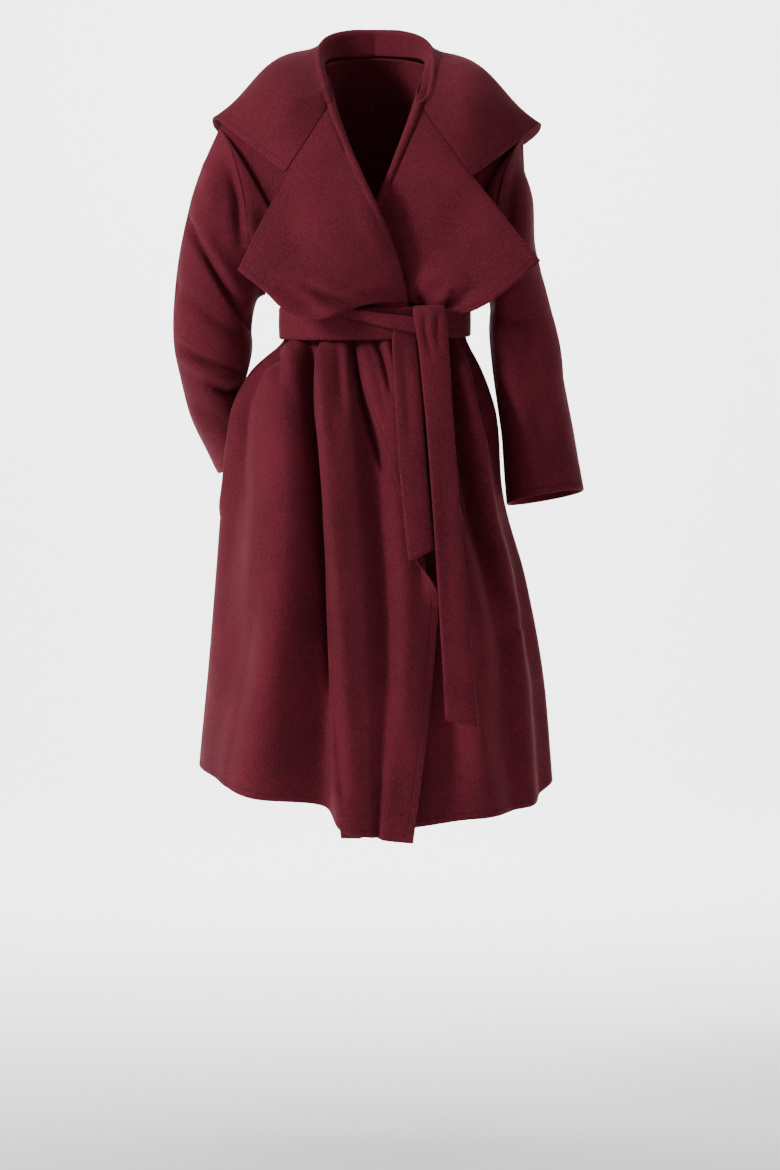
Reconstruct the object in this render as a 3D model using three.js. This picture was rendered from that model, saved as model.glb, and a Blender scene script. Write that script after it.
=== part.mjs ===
// A belted wrap coat of thick double-faced wool, hollow, as it hangs when worn. Millimetres, +Z up.
// The origin is in the middle of the neck, level with the top of the shoulders. The front faces -Y,
// the wearer's right side is -X, and the right front laps over the left one.
// Every piece is a wall: a grid of points in the middle of the cloth, thickened to both sides.
import * as THREE from "three";

// Driving dimensions
const CLOTH = 2.6; // thickness of the cloth
const SEAM_GAP = 0.3; // between two pieces that are sewn to each other
const FOLD = 8; // between the middles of the two layers at a turned-back edge
const WAIST_Z = -352; // where the body is drawn in, just above the belt
const BELT_Z = -379; // middle of the belt
const BELT_WIDTH = 44;
const GATHER_Z = -385; // where the folds below the belt start
const BELT_THICK = 4; // two layers
const CORNER_POWER = 0.91; // below 1 squares the oval sections a little
const WAIST_LIFT = 110; // how far above the belt the blousing is pulled in
const BLOUSE = 30; // how far the body blouses out above the belt
const ROLL_OUT = { right: 58, left: 10 }; // how far each roll line blouses out above the belt

const point = (x, y, z) => new THREE.Vector3(x, y, z);
const clamp01 = (t) => Math.min(1, Math.max(0, t));
const ease = (t) => clamp01(t) ** 2 * (3 - 2 * clamp01(t));
const mix = (a, b, t) => a + (b - a) * t;
const radians = (degrees) => (degrees * Math.PI) / 180;
const signedPower = (v, power) => Math.sign(v) * Math.abs(v) ** power;

// Smooth curve through (xs[i], ys[i]), read at x, flat past its ends.
function through(xs, ys, x) {
  const rising = xs[xs.length - 1] > xs[0] ? 1 : -1;
  const last = xs.length - 1;
  if ((x - xs[0]) * rising <= 0) return ys[0];
  if ((x - xs[last]) * rising >= 0) return ys[last];
  let i = 0;
  while ((x - xs[i + 1]) * rising > 0) i++;
  const slope = (k) => {
    const before = Math.max(k - 1, 0);
    const after = Math.min(k + 1, last);
    return (ys[after] - ys[before]) / (xs[after] - xs[before]);
  };
  const span = xs[i + 1] - xs[i];
  const t = (x - xs[i]) / span;
  const a = ys[i] * (1 + 2 * t) * (1 - t) ** 2 + slope(i) * span * t * (1 - t) ** 2;
  return a + ys[i + 1] * t * t * (3 - 2 * t) + slope(i + 1) * span * t * t * (t - 1);
}

// The same for a table's named column.
const column = (rows, key, name, x) =>
  through(rows.map((r) => r[key]), rows.map((r) => r[name]), x);

// Smooth curve in space through the points, with t from 0 to 1 shared evenly between them.
function along(points, t) {
  const at = points.map((_, i) => i / (points.length - 1));
  const read = (axis) => through(at, points.map((p) => p[axis]), t);
  return point(read("x"), read("y"), read("z"));
}

// Cubic Bezier curve.
function bezier(p0, p1, p2, p3, t) {
  const s = 1 - t;
  return point(0, 0, 0)
    .addScaledVector(p0, s ** 3)
    .addScaledVector(p1, 3 * s * s * t)
    .addScaledVector(p2, 3 * s * t * t)
    .addScaledVector(p3, t ** 3);
}

// Outward unit normals of a grid of points, grid[row][column]. A closed grid joins its last column
// to its first.
function normals(grid, closed) {
  const rows = grid.length;
  const columns = grid[0].length;
  const pick = (i, j) => {
    const row = Math.min(Math.max(i, 0), rows - 1);
    const col = closed ? (j + columns) % columns : Math.min(Math.max(j, 0), columns - 1);
    return grid[row][col];
  };
  return grid.map((line, i) =>
    line.map((_, j) => {
      const across = pick(i, j + 1).clone().sub(pick(i, j - 1));
      const down = pick(i + 1, j).clone().sub(pick(i - 1, j));
      return across.cross(down).normalize();
    }),
  );
}

// A closed wall of even thickness about a grid, as one geometry.
function wall(grid, thickness, closed = false) {
  const rows = grid.length;
  const columns = grid[0].length;
  const normal = normals(grid, closed);
  const position = [];
  for (const side of [0.5, -0.5])
    grid.forEach((line, i) =>
      line.forEach((p, j) => {
        const q = p.clone().addScaledVector(normal[i][j], side * thickness);
        position.push(q.x, q.y, q.z);
      }),
    );
  const layer = rows * columns;
  const front = (i, j) => i * columns + (j % columns);
  const back = (i, j) => layer + front(i, j);
  const index = [];
  const quad = (a, b, c, d) => index.push(a, b, c, a, c, d);
  const spans = closed ? columns : columns - 1;
  for (let i = 0; i < rows - 1; i++)
    for (let j = 0; j < spans; j++) {
      quad(front(i, j), front(i, j + 1), front(i + 1, j + 1), front(i + 1, j));
      quad(back(i, j), back(i + 1, j), back(i + 1, j + 1), back(i, j + 1));
    }
  for (let j = 0; j < spans; j++) {
    quad(front(0, j), back(0, j), back(0, j + 1), front(0, j + 1));
    quad(front(rows - 1, j + 1), back(rows - 1, j + 1), back(rows - 1, j), front(rows - 1, j));
  }
  for (let i = 0; i < rows - 1 && !closed; i++) {
    quad(front(i + 1, 0), back(i + 1, 0), back(i, 0), front(i, 0));
    const j = columns - 1;
    quad(front(i, j), back(i, j), back(i + 1, j), front(i + 1, j));
  }
  const geometry = new THREE.BufferGeometry();
  geometry.setAttribute("position", new THREE.BufferAttribute(new Float32Array(position), 3));
  geometry.setIndex(index);
  return geometry;
}

const wool = () => new THREE.MeshStandardMaterial({ color: 0x5a1a24, roughness: 0.9, metalness: 0 });
const group = new THREE.Group();
function piece(name, geometry) {
  const mesh = new THREE.Mesh(geometry, wool());
  mesh.name = name;
  group.add(mesh);
}

// Oval sections of the coat's body from the waist down: half widths and depths.
const SECTIONS = [
  { z: WAIST_Z, left: 135, right: 135, front: 108, back: 100 },
  { z: GATHER_Z, left: 133, right: 133, front: 107, back: 99 },
  { z: -406, left: 134, right: 134, front: 108, back: 100 },
  { z: -455, left: 182, right: 158, front: 138, back: 124 },
  { z: -520, left: 214, right: 178, front: 160, back: 142 },
  { z: -640, left: 228, right: 188, front: 178, back: 156 },
  { z: -760, left: 238, right: 221, front: 190, back: 168 },
  { z: -900, left: 250, right: 247, front: 201, back: 180 },
  { z: -1043, left: 264, right: 260, front: 211, back: 190 },
  { z: -1130, left: 269, right: 265, front: 217, back: 195 },
];

// Where the cloth of a fold lies: its angle round the body (0 front, 90 wearer's left, 180 back) and how
// far it stands out, at the belt, hip, knee and hem; how far it leans round the body; and where its hem ends.
const FOLD_LEVELS = [GATHER_Z, -530, -780, -1120];
const LEAN_DROP = 130; // how far below the gathers a fold leans fully
const fold = (angle, out, lean, end) => ({ angle, out, lean, end });
const FRONT_RIGHT_FOLDS = [
  fold([270, 270, 270, 270], [0, 0, 0, 0], 0, -1043), // side seam
  fold([284, 294, 298, 292], [-11, -9, -8, -6], 0, -1048),
  fold([297, 310, 314, 306], [1, 4, 4, 5], 0, -1056),
  fold([307, 326, 329, 322], [1, 9, 12, 16], 0, -1066),
  fold([320, 336, 342, 344], [-14, -25, -34, -42], 0, -1080), // deep valley
  fold([328, 343, 349, 355], [1, 13, 14, 12], -15, -1108), // leaning ridge
  fold([343, 352, 356, 359], [1, 8, 5, 4], 0, -1117),
  fold([349, 358, 362.5, 360.5], [-13, -13, -11, -8], 0, -1119),
  fold([362, 367, 369, 362], [-2, 3, 4, 3], 0, -1121),
  fold([376.8, 378, 374.5, 364.7], [0, 3, 4, 4], 0, -1123), // turned edge
];
const FRONT_LEFT_FOLDS = [
  fold([90, 90, 90, 90], [0, 0, 0, 0], 0, -1056), // side seam
  fold([82, 81, 81, 80], [1, 3, 4, 6], 0, -1064),
  fold([72, 68, 70, 70], [-10, -8, -6, -6], 0, -1076),
  fold([60, 53, 58, 59], [1, 12, 10, 6], 0, -1086),
  fold([50, 42, 50, 50], [-12, -20, -12, -3], 0, -1090),
  fold([40, 32, 38, 38], [-2, 4, 7, 5], 0, -1094),
  fold([30, 22, 25, 26], [-16, -17, -13, -7], 0, -1098),
  fold([18, 14, 14, 14], [-28, -27, -27, -20], 0, -1106),
  fold([4, 4, 4, 6], [-33, -31, -30, -30], 0, -1112),
  fold([-9, -5, -3, 0], [-35, -33, -32, -33], 0, -1119),
  fold([-20, -13, -8, -4], [-36, -35, -34, -36], 0, -1125), // turned edge
];
const BACK_FOLDS = [
  fold([90, 90, 90, 90], [0, 0, 0, 0], 0, -1056), // left side seam
  fold([104, 102, 101, 100], [-10, -8, -6, -4], 0, -1057),
  fold([116, 114, 112, 111], [1, 9, 11, 14], 0, -1058),
  fold([128, 127, 127, 127], [-12, -14, -14, -13], 0, -1059),
  fold([141, 140, 139, 140], [1, 10, 12, 14], 0, -1060),
  fold([153, 153, 153, 154], [-13, -17, -19, -22], 0, -1061),
  fold([165, 166, 168, 170], [1, 11, 14, 17], 0, -1062),
  fold([178, 180, 184, 187], [-11, -14, -17, -20], 0, -1062),
  fold([190, 193, 198, 202], [1, 12, 15, 19], 0, -1061),
  fold([203, 206, 210, 214], [-13, -16, -19, -21], 0, -1059),
  fold([216, 219, 223, 227], [1, 10, 13, 16], 0, -1056),
  fold([230, 234, 238, 240], [-11, -13, -13, -11], 0, -1052),
  fold([243, 247, 251, 253], [1, 8, 9, 10], 0, -1048),
  fold([256, 259, 261, 262], [-8, -6, -5, -3], 0, -1045),
  fold([270, 270, 270, 270], [0, 0, 0, 0], 0, -1043), // right side seam
];

// The right side seam parts into a pocket mouth, where the cuff rests: 0 shut, 1 widest.
const POCKET_TOP_Z = -418;
const POCKET_BOTTOM_Z = -668;
const MOUTH_FRONT = 17; // degrees that the front lip comes forward
const MOUTH_BACK = 9; // degrees that the back lip goes back
const MOUTH_IN = 40; // how far the back lip sinks in
const MOUTH_FLARE = 9; // how far the front lip stands out
const MOUTH_REACH = 0.16; // share of the panel's width that gives way
function pocketMouth(z) {
  const t = (POCKET_TOP_Z - z) / (POCKET_TOP_Z - POCKET_BOTTOM_Z);
  return t > 0 && t < 1 ? Math.sin(Math.PI * t) ** 0.7 : 0;
}

// The unit direction out of the oval, and the one round it, at an angle and a height.
function ovalFrame(angle, z) {
  const a = radians(angle);
  const half = column(SECTIONS, "z", Math.sin(a) < 0 ? "left" : "right", z);
  const deep = column(SECTIONS, "z", Math.cos(a) > 0 ? "front" : "back", z);
  const place = point(
    half * signedPower(Math.sin(a), CORNER_POWER),
    -deep * signedPower(Math.cos(a), CORNER_POWER),
    z,
  );
  const out = point(Math.sin(a) / half, -Math.cos(a) / deep, 0).normalize();
  return { place, out, round: point(-out.y, out.x, 0) };
}

// A point of a panel below the waist: share goes across its folds, from 0 to 1.
function skirtPoint(folds, share, z, pocketSide) {
  const ranks = folds.map((_, i) => i / (folds.length - 1));
  const read = (values) => through(ranks, values, share);
  const atHeight = (name) => folds.map((f) => through(FOLD_LEVELS, f[name], z));
  let angle = read(atHeight("angle"));
  let out = read(atHeight("out"));
  if (pocketSide) {
    const fromSeam = pocketSide > 0 ? share : 1 - share;
    const give = pocketMouth(z) * (1 - ease(fromSeam / MOUTH_REACH));
    angle += give * (pocketSide > 0 ? MOUTH_FRONT : -MOUTH_BACK);
    out += pocketSide > 0 ? give * MOUTH_FLARE : -give * MOUTH_IN;
  }
  const drop = clamp01((GATHER_Z - z) / LEAN_DROP);
  const lean = read(folds.map((f) => f.lean)) * drop;
  const oval = ovalFrame(angle, z);
  return oval.place.addScaledVector(oval.out, out).addScaledVector(oval.round, lean);
}

// Heights of a panel's rows below the waist: the first few lie under the belt.
const BELT_ROWS = [WAIST_Z, -371, -388, -406];
function skirtHeight(folds, share, row) {
  if (row < BELT_ROWS.length) return BELT_ROWS[row];
  const ranks = folds.map((_, i) => i / (folds.length - 1));
  const end = through(ranks, folds.map((f) => f.end), share);
  const last = BELT_ROWS.length - 1;
  return mix(BELT_ROWS[last], end, ((row - last) / (SKIRT_ROWS - last)) ** 1.12);
}

// Named points of the seams of one side, given for the wearer's right. The left shoulder hangs a little
// lower.
function seamPoints(side) {
  const low = side > 0 ? 14 : 0;
  const reach = side > 0 ? 10 : 0; // the left shoulder reaches out less
  const place = (x, y, z) => point(side * (x - (x > 150 ? reach : 0)), y, z);
  return {
    underarm: place(164, 0, -338),
    armLow: (y) => place(178, y * 0.9, -272),
    armMid: (y) => place(190, y, -195),
    armHigh: (y) => place(208, y * 0.72, -130 - low * 0.5),
    tip: place(227, 0, -92 - low),
    shoulder: place(150, 0, -27 - low * 0.5),
    neck: place(76, 0, -2),
    rollStart: place(61, -80, -64),
  };
}
const ARM_DEEP = 74; // how far the armhole reaches forward and back

// The top edge of a panel, from the underarm over the armhole and the shoulder to the neck.
function topEdge(side, facing, share, stops) {
  const s = seamPoints(side);
  const y = facing * ARM_DEEP;
  const armhole = [s.underarm, s.armLow(y), s.armMid(y), s.armHigh(y), s.tip];
  if (share < stops.tip) return along(armhole, share / stops.tip);
  const seam = [s.tip, s.shoulder, s.neck];
  if (share < stops.neck) return along(seam, (share - stops.tip) / (stops.neck - stops.tip));
  const t = (share - stops.neck) / (stops.end - stops.neck);
  if (facing > 0) return along([s.neck, point(side * 44, 60, 10), point(0, 74, 14)], t);
  const between = s.neck.clone().lerp(s.rollStart, 0.5).add(point(-side * 3, 0, 3));
  return along([s.neck, between, s.rollStart], t);
}

// How the body's cloth leaves the armhole, from the underarm (0) up to the shoulder's tip (1).
const LEAVE = {
  up: [0, 0.3, 0.55, 0.8, 1],
  inward: [0, 16, 30, 32, 12],
  forward: [12, 10, 12, 34, 66],
  down: [40, 46, 42, 38, 44],
};

// The front's upper columns leave the top edge in this direction and reach the waist like this.
function upperPoint(side, facing, share, stops, waist, t) {
  const top = topEdge(side, facing, share, stops);
  const upArm = clamp01(share / stops.tip);
  const leave = point(
    -side * through(LEAVE.up, LEAVE.inward, upArm),
    facing * through(LEAVE.up, LEAVE.forward, upArm),
    -through(LEAVE.up, LEAVE.down, upArm),
  );
  leave.lerp(point(0, facing * 86, -46), ease((share - stops.tip) / (stops.neck - stops.tip)));
  const centre = point(0, 0, waist.z);
  const out = waist.clone().sub(centre).normalize();
  const lift = point(0, 0, WAIST_LIFT).addScaledVector(out, BLOUSE);
  const rollOut = side < 0 ? ROLL_OUT.right : ROLL_OUT.left;
  if (facing < 0) {
    const toRoll = ease((share - stops.neck) / (1 - stops.neck));
    leave.lerp(point(-side * 14, -46, -50), toRoll);
    lift.lerp(point(side * 10, -rollOut, 95), toRoll);
  }
  return bezier(top, top.clone().add(leave), waist.clone().add(lift), waist, t);
}

const UPPER_ROWS = 11;
const SKIRT_ROWS = 15;
const FRONT_COLUMNS = 25;
const BACK_COLUMNS = 33;
const ARMHOLE_STEPS = 10; // columns that end on one half of the armhole
const FRONT_STOPS = { tip: ARMHOLE_STEPS / (FRONT_COLUMNS - 1), neck: 19 / 24, end: 1 };

// Rows of one front's flat part: row[0] is the side seam, the last one the turned edge.
function frontPanel(side, folds) {
  const rows = [];
  const pocket = side < 0 ? 1 : 0;
  const shares = Array.from({ length: FRONT_COLUMNS }, (_, j) => j / (FRONT_COLUMNS - 1));
  for (let i = 0; i < UPPER_ROWS; i++)
    rows.push(
      shares.map((share) => {
        const waist = skirtPoint(folds, share, WAIST_Z, 0);
        return upperPoint(side, -1, share, FRONT_STOPS, waist, i / UPPER_ROWS);
      }),
    );
  for (let i = 0; i <= SKIRT_ROWS; i++)
    rows.push(
      shares.map((share) => {
        const z = skirtHeight(folds, share, i);
        return skirtPoint(folds, share, z, pocket);
      }),
    );
  return rows;
}

// The lapel's free edge above the belt: how far down the roll line its row starts, and the edge's place.
// The first row is the gorge seam with the notch at its end, and row "tip" the lapel's point.
const LAPEL_RIGHT = [
  { down: 0, x: -127, y: -112, z: -164 }, // notch
  { down: 0.25, x: -163, y: -116, z: -234 },
  { down: 0.5, x: -198, y: -119, z: -304 }, // tip
  { down: 0.65, x: -160, y: -133, z: -334 },
  { down: 0.8, x: -117, y: -145, z: -370 },
  { down: 0.9, x: -66, y: -153, z: -373 },
  { down: 1, x: -26, y: -112, z: WAIST_Z + 9 }, // tucked under the belt
];
const LAPEL_LEFT = [
  { down: 0, x: 141, y: -112, z: -169 },
  { down: 0.25, x: 190, y: -120, z: -230 },
  { down: 0.5, x: 238, y: -126, z: -291 },
  { down: 0.65, x: 202, y: -135, z: -323 },
  { down: 0.8, x: 160, y: -140, z: -354 },
  { down: 0.9, x: 128, y: -128, z: -366 },
  { down: 1, x: 99, y: -92, z: WAIST_Z + 2 },
];

// The turned-back edge below the belt: where it ends across the body, until it opens out.
const FACING_RIGHT = {
  edge: [
    { z: -385, x: -24 },
    { z: -412, x: -29 },
    { z: -481, x: -14 },
    { z: -567, x: 16 },
    { z: -651, x: 44 },
    { z: -700, x: 58 },
  ],
  opens: -690,
  open: -800,
};
const FACING_LEFT = {
  edge: [
    { z: -385, x: 96 },
    { z: -450, x: 80 },
    { z: -560, x: 52 },
    { z: -650, x: 26 },
    { z: -740, x: -6 },
  ],
  opens: -740,
  open: -860,
};
const OPEN_EDGE = 15; // width of the strip past the turn, where the edge has opened
const TURN_LENGTH = (Math.PI * FOLD) / 2; // cloth in the turn of a folded edge
const ARC_COLUMNS = 4;
const LAPEL_COLUMNS = 8;
const LAPEL_CROWN = 9; // how far the lapel's middle stands up

// The share across a panel where its x is the one asked for.
function shareAtX(folds, z, x, side) {
  let low = 0.3;
  let high = 1;
  for (let k = 0; k < 24; k++) {
    const middle = (low + high) / 2;
    const over = (skirtPoint(folds, middle, z, 0).x - x) * side;
    if (over > 0) low = middle;
    else high = middle;
  }
  return (low + high) / 2;
}

// One whole front: flat part, the fold at its roll line, and the lapel that turns back over it.
function frontGrid(side, folds, lapel, facing) {
  const panel = frontPanel(side, folds);
  const sign = side < 0 ? -1 : 1; // the right front's columns run the same way as x
  const normal = normals(panel, false);
  return panel.map((row, i) => {
    const edge = row[row.length - 1];
    const out = normal[i][row.length - 1].clone().multiplyScalar(sign);
    const next = panel[Math.min(i + 1, panel.length - 1)][row.length - 1];
    const last = panel[Math.max(i - 1, 0)][row.length - 1];
    const down = next.clone().sub(last).normalize();
    const away = down.clone().cross(out).multiplyScalar(sign).normalize();
    const down01 = i / UPPER_ROWS;
    const open = down01 <= 1 ? 0 : ease((facing.opens - edge.z) / (facing.opens - facing.open));
    const turned = Math.PI * (1 - open);
    const bend = Math.max(turned, 1e-3) / TURN_LENGTH;
    const rolled = (length) =>
      edge
        .clone()
        .addScaledVector(away, Math.sin(bend * length) / bend)
        .addScaledVector(out, (1 - Math.cos(bend * length)) / bend);
    const arc = Array.from({ length: ARC_COLUMNS }, (_, k) =>
      rolled((TURN_LENGTH * (k + 1)) / (ARC_COLUMNS + 1)),
    );
    const start = rolled(TURN_LENGTH);
    const lapelRow = Array.from({ length: LAPEL_COLUMNS }, (_, k) => {
      const s = k / (LAPEL_COLUMNS - 1);
      if (down01 < 1) {
        const end = point(...["x", "y", "z"].map((axis) => column(lapel, "down", axis, down01)));
        const crown = LAPEL_CROWN * Math.sin(Math.PI * s ** 0.8) * (1 - ease((down01 - 0.6) / 0.4));
        return start.clone().lerp(end, s).add(point(0, -crown, 0));
      }
      const straight = start
        .clone()
        .addScaledVector(away, s * OPEN_EDGE * Math.cos(turned))
        .addScaledVector(out, s * OPEN_EDGE * Math.sin(turned));
      if (open >= 1) return straight;
      const share = mix(1, shareAtX(folds, edge.z, column(facing.edge, "z", "x", edge.z), side), s);
      const z = skirtHeight(folds, share, i - UPPER_ROWS);
      const under = skirtPoint(folds, share, z, 0);
      const oval = point(under.x, under.y * 1.3, 0).normalize();
      return under.addScaledVector(oval, FOLD).lerp(straight, ease(open / 0.4));
    });
    return [...row, ...arc, ...lapelRow];
  });
}

const reversed = (grid) => grid.map((row) => [...row].reverse());
const frontRight = frontGrid(-1, FRONT_RIGHT_FOLDS, LAPEL_RIGHT, FACING_RIGHT);
const frontLeft = frontGrid(1, FRONT_LEFT_FOLDS, LAPEL_LEFT, FACING_LEFT);
piece("front_right", wall(reversed(frontRight), CLOTH));
piece("front_left", wall(frontLeft, CLOTH));

// The back, from the left side seam round to the right one.
const BACK_STOPS = { tip: ARMHOLE_STEPS / (BACK_COLUMNS - 1), neck: 14 / 32, end: 0.5 };
function backGrid() {
  const shares = Array.from({ length: BACK_COLUMNS }, (_, j) => j / (BACK_COLUMNS - 1));
  const rows = [];
  for (let i = 0; i < UPPER_ROWS; i++)
    rows.push(
      shares.map((share) => {
        const side = share <= 0.5 ? 1 : -1;
        const half = share <= 0.5 ? share : 1 - share;
        const waist = skirtPoint(BACK_FOLDS, share, WAIST_Z, 0);
        return upperPoint(side, 1, half, BACK_STOPS, waist, i / UPPER_ROWS);
      }),
    );
  for (let i = 0; i <= SKIRT_ROWS; i++)
    rows.push(
      shares.map((share) => {
        const z = skirtHeight(BACK_FOLDS, share, i);
        return skirtPoint(BACK_FOLDS, share, z, -1);
      }),
    );
  return rows;
}
// A seam's gap is taken from the back: its edge columns move away from the fronts.
const BACK_SEAM_Y = SEAM_GAP + 1.6;
const backRows = backGrid().map((row, i) =>
  row.map((p, j) => {
    const atEdge = j === 0 || j === row.length - 1 || i === 0;
    return atEdge ? p.add(point(0, BACK_SEAM_Y, 0)) : p;
  }),
);
piece("back", wall(reversed(backRows), CLOTH));

// The collar: stations from the gorge round to the middle of the back. Each has a point on the neck seam,
// on the roll at the top, in the middle of the fall and on its outer edge, given for the wearer's right.
const COLLAR = [
  { neck: [-62, -77, -55], roll: [-65, -74, -48], middle: [-122, -99, -92], edge: [-154, -94, -142] },
  { neck: [-65, -68, -46], roll: [-68, -64, -38], middle: [-132, -88, -66], edge: [-193, -64, -113] },
  { neck: [-68, -58, -36], roll: [-72, -54, -26], middle: [-146, -62, -34], edge: [-235, -20, -80] },
  { neck: [-73, -32, -12], roll: [-77, -28, -2], middle: [-156, -14, -4], edge: [-236, 30, -94] },
  { neck: [-74, -2, 3], roll: [-78, 6, 22], middle: [-140, 50, 6], edge: [-204, 92, -118] },
  { neck: [-64, 34, 12], roll: [-66, 40, 40], middle: [-106, 92, -6], edge: [-150, 132, -138] },
  { neck: [-42, 58, 16], roll: [-38, 62, 50], middle: [-62, 118, -12], edge: [-80, 150, -148] },
  { neck: [0, 73, 19], roll: [0, 74, 52], middle: [0, 126, -16], edge: [0, 158, -152] },
];
const COLLAR_ROWS = 27;
const FALL_COLUMNS = 9;
const STAND_COLUMNS = 3;
const LEFT_COLLAR_SHIFT = [8, 0, -11]; // the wearer's left half hangs lower and further out
const COLLAR_TURN = 5; // half the width of the turn at the top

function collarStation(across, name) {
  const side = across <= 0.5 ? -1 : 1;
  const half = across <= 0.5 ? across * 2 : 2 - across * 2;
  const rank = COLLAR.map((_, i) => i / (COLLAR.length - 1));
  const [x, y, z] = [0, 1, 2].map((axis) =>
    through(rank, COLLAR.map((c) => c[name][axis]), half),
  );
  if (side < 0) return point(x, y, z);
  const fade = 1 - ease(half);
  const shift = name === "neck" ? [0, 0, -2] : LEFT_COLLAR_SHIFT;
  return point(-x + shift[0] * fade, y + shift[1] * fade, z + shift[2] * fade);
}

// The collar's end rows lie along the lapels' gorge seams.
function gorge(front, side) {
  const first = FRONT_COLUMNS + ARC_COLUMNS;
  const beside = point(side * 2.4, 0, 2.4);
  return front[0].slice(first).map((p) => p.clone().add(beside));
}

function collarGrid() {
  const ends = [gorge(frontRight, -1), gorge(frontLeft, 1)];
  return Array.from({ length: COLLAR_ROWS }, (_, i) => {
    const across = i / (COLLAR_ROWS - 1);
    const neck = collarStation(across, "neck");
    const roll = collarStation(across, "roll");
    const middle = collarStation(across, "middle");
    const edge = collarStation(across, "edge");
    const outward = middle.clone().sub(roll).setZ(0).normalize();
    const start = roll.clone().addScaledVector(outward, COLLAR_TURN * 2);
    const end = i === 0 ? ends[0] : i === COLLAR_ROWS - 1 ? ends[1] : null;
    if (end) start.copy(end[0]);
    const stand = Array.from({ length: STAND_COLUMNS }, (_, k) =>
      neck.clone().lerp(roll, k / (STAND_COLUMNS - 1)),
    );
    const top = roll.clone().lerp(start, 0.5).add(point(0, 0, COLLAR_TURN));
    const fall = Array.from({ length: FALL_COLUMNS }, (_, k) => {
      const t = k / (FALL_COLUMNS - 1);
      return end ? along(end, t) : along([start, middle, edge], t);
    });
    return [...stand, top, ...fall];
  });
}
piece("collar", wall(collarGrid(), CLOTH));

// Sleeves: the first ring is the armhole, and each row below is a ring of the sleeve. Outer and inner are
// its edges as seen from the front, y its middle and deep its half depth, yaw its turn about the arm, and
// dip how much lower its back is than its front.
const ring = (outer, inner, y, deep, yaw, dip) => ({ outer, inner, y, deep, yaw, dip });
const SLEEVE_RIGHT = [
  ring([-262, -170], [-176, -346], 4, 76, 0, 0),
  ring([-287, -266], [-182, -366], 6, 74, 0, 0),
  ring([-298, -350], [-185, -392], 8, 72, 0, 0),
  ring([-299, -410], [-184, -418], 10, 71, 0, 0),
  ring([-291, -456], [-190, -450], 12, 68, 2, 0),
  ring([-274, -522], [-202, -494], 13, 60, 6, 4),
  ring([-244, -582], [-198, -548], 10, 51, 12, 6),
  ring([-233, -604], [-193, -574], 8, 47, 14, 6),
];
const SLEEVE_LEFT = [
  ring([224, -190], [172, -352], 0, 76, 0, 0),
  ring([244, -306], [171, -392], 0, 76, 0, 0),
  ring([264, -392], [175, -440], -2, 75, 0, 0),
  ring([279, -462], [182, -492], -2, 74, 0, 2),
  ring([293, -530], [190, -548], -2, 73, 0, 8),
  ring([303, -586], [194, -602], -2, 72, 0, 14),
  ring([311, -630], [198, -650], -2, 71, 0, 20),
];
const SLEEVE_COLUMNS = 2 * ARMHOLE_STEPS;
const SLEEVE_ROWS = 18;
const ARMHOLE_GAP = 3.2;

function sleeveRing(row, turn) {
  const centre = point((row.outer[0] + row.inner[0]) / 2, row.y, (row.outer[1] + row.inner[1]) / 2);
  const up = point(0, 0, 1);
  const side = point((row.outer[0] - row.inner[0]) / 2, 0, (row.outer[1] - row.inner[1]) / 2);
  const front = point(0, -row.deep, row.dip / 2);
  side.applyAxisAngle(up, radians(row.yaw));
  front.applyAxisAngle(up, radians(row.yaw));
  return centre
    .addScaledVector(side, signedPower(Math.cos(turn), CORNER_POWER))
    .addScaledVector(front, signedPower(Math.sin(turn), CORNER_POWER));
}

// The armhole's loop from the shoulder's tip, over the front, round the underarm and up the back.
function armholeLoop(side, turn) {
  const p = seamPoints(side);
  const half = (y) => [p.tip, p.armHigh(y), p.armMid(y), p.armLow(y), p.underarm];
  const share = turn / Math.PI;
  const loop = share <= 1 ? along(half(-ARM_DEEP), share) : along(half(ARM_DEEP), 2 - share);
  return loop.add(point(side * ARMHOLE_GAP, share > 1 ? BACK_SEAM_Y : 0, 0));
}

function sleeve(side, rows) {
  const grid = Array.from({ length: SLEEVE_ROWS }, () => []);
  for (let j = 0; j < SLEEVE_COLUMNS; j++) {
    const turn = (2 * Math.PI * j) / SLEEVE_COLUMNS;
    const path = [armholeLoop(side, turn), ...rows.map((row) => sleeveRing(row, turn))];
    grid.forEach((line, i) => line.push(along(path, i / (SLEEVE_ROWS - 1))));
  }
  return wall(side < 0 ? grid : reversed(grid), CLOTH, true);
}
piece("sleeve_right", sleeve(-1, SLEEVE_RIGHT));
piece("sleeve_left", sleeve(1, SLEEVE_LEFT));

// The belt: a band round the waist, the strand that crosses it to the knot, and two hanging ends.
const BELT = { side: 140.7, front: 121.7, back: 107 };
const BELT_COLUMNS = 48;
const BELT_TILT = 2; // how much higher it lies at the wearer's left
const BELT_DIP = 3; // how much lower it lies in front
const BELT_CROWN = 2;
function beltPoint(angle, z, out = 0) {
  const a = radians(angle);
  const deep = (Math.cos(a) > 0 ? BELT.front : BELT.back) + out;
  return point(
    (BELT.side + out) * signedPower(Math.sin(a), CORNER_POWER),
    -deep * signedPower(Math.cos(a), CORNER_POWER),
    z,
  );
}
const beltGrid = [-0.5, -0.17, 0.17, 0.5].map((v) =>
  Array.from({ length: BELT_COLUMNS }, (_, j) => {
    const angle = (360 * j) / BELT_COLUMNS;
    const tilt = BELT_TILT * Math.sin(radians(angle)) - BELT_DIP * Math.cos(radians(angle));
    return beltPoint(angle, BELT_Z - v * BELT_WIDTH + tilt, BELT_CROWN * (0.25 - v * v));
  }),
);
piece("belt", wall(beltGrid, BELT_THICK, true));

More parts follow.
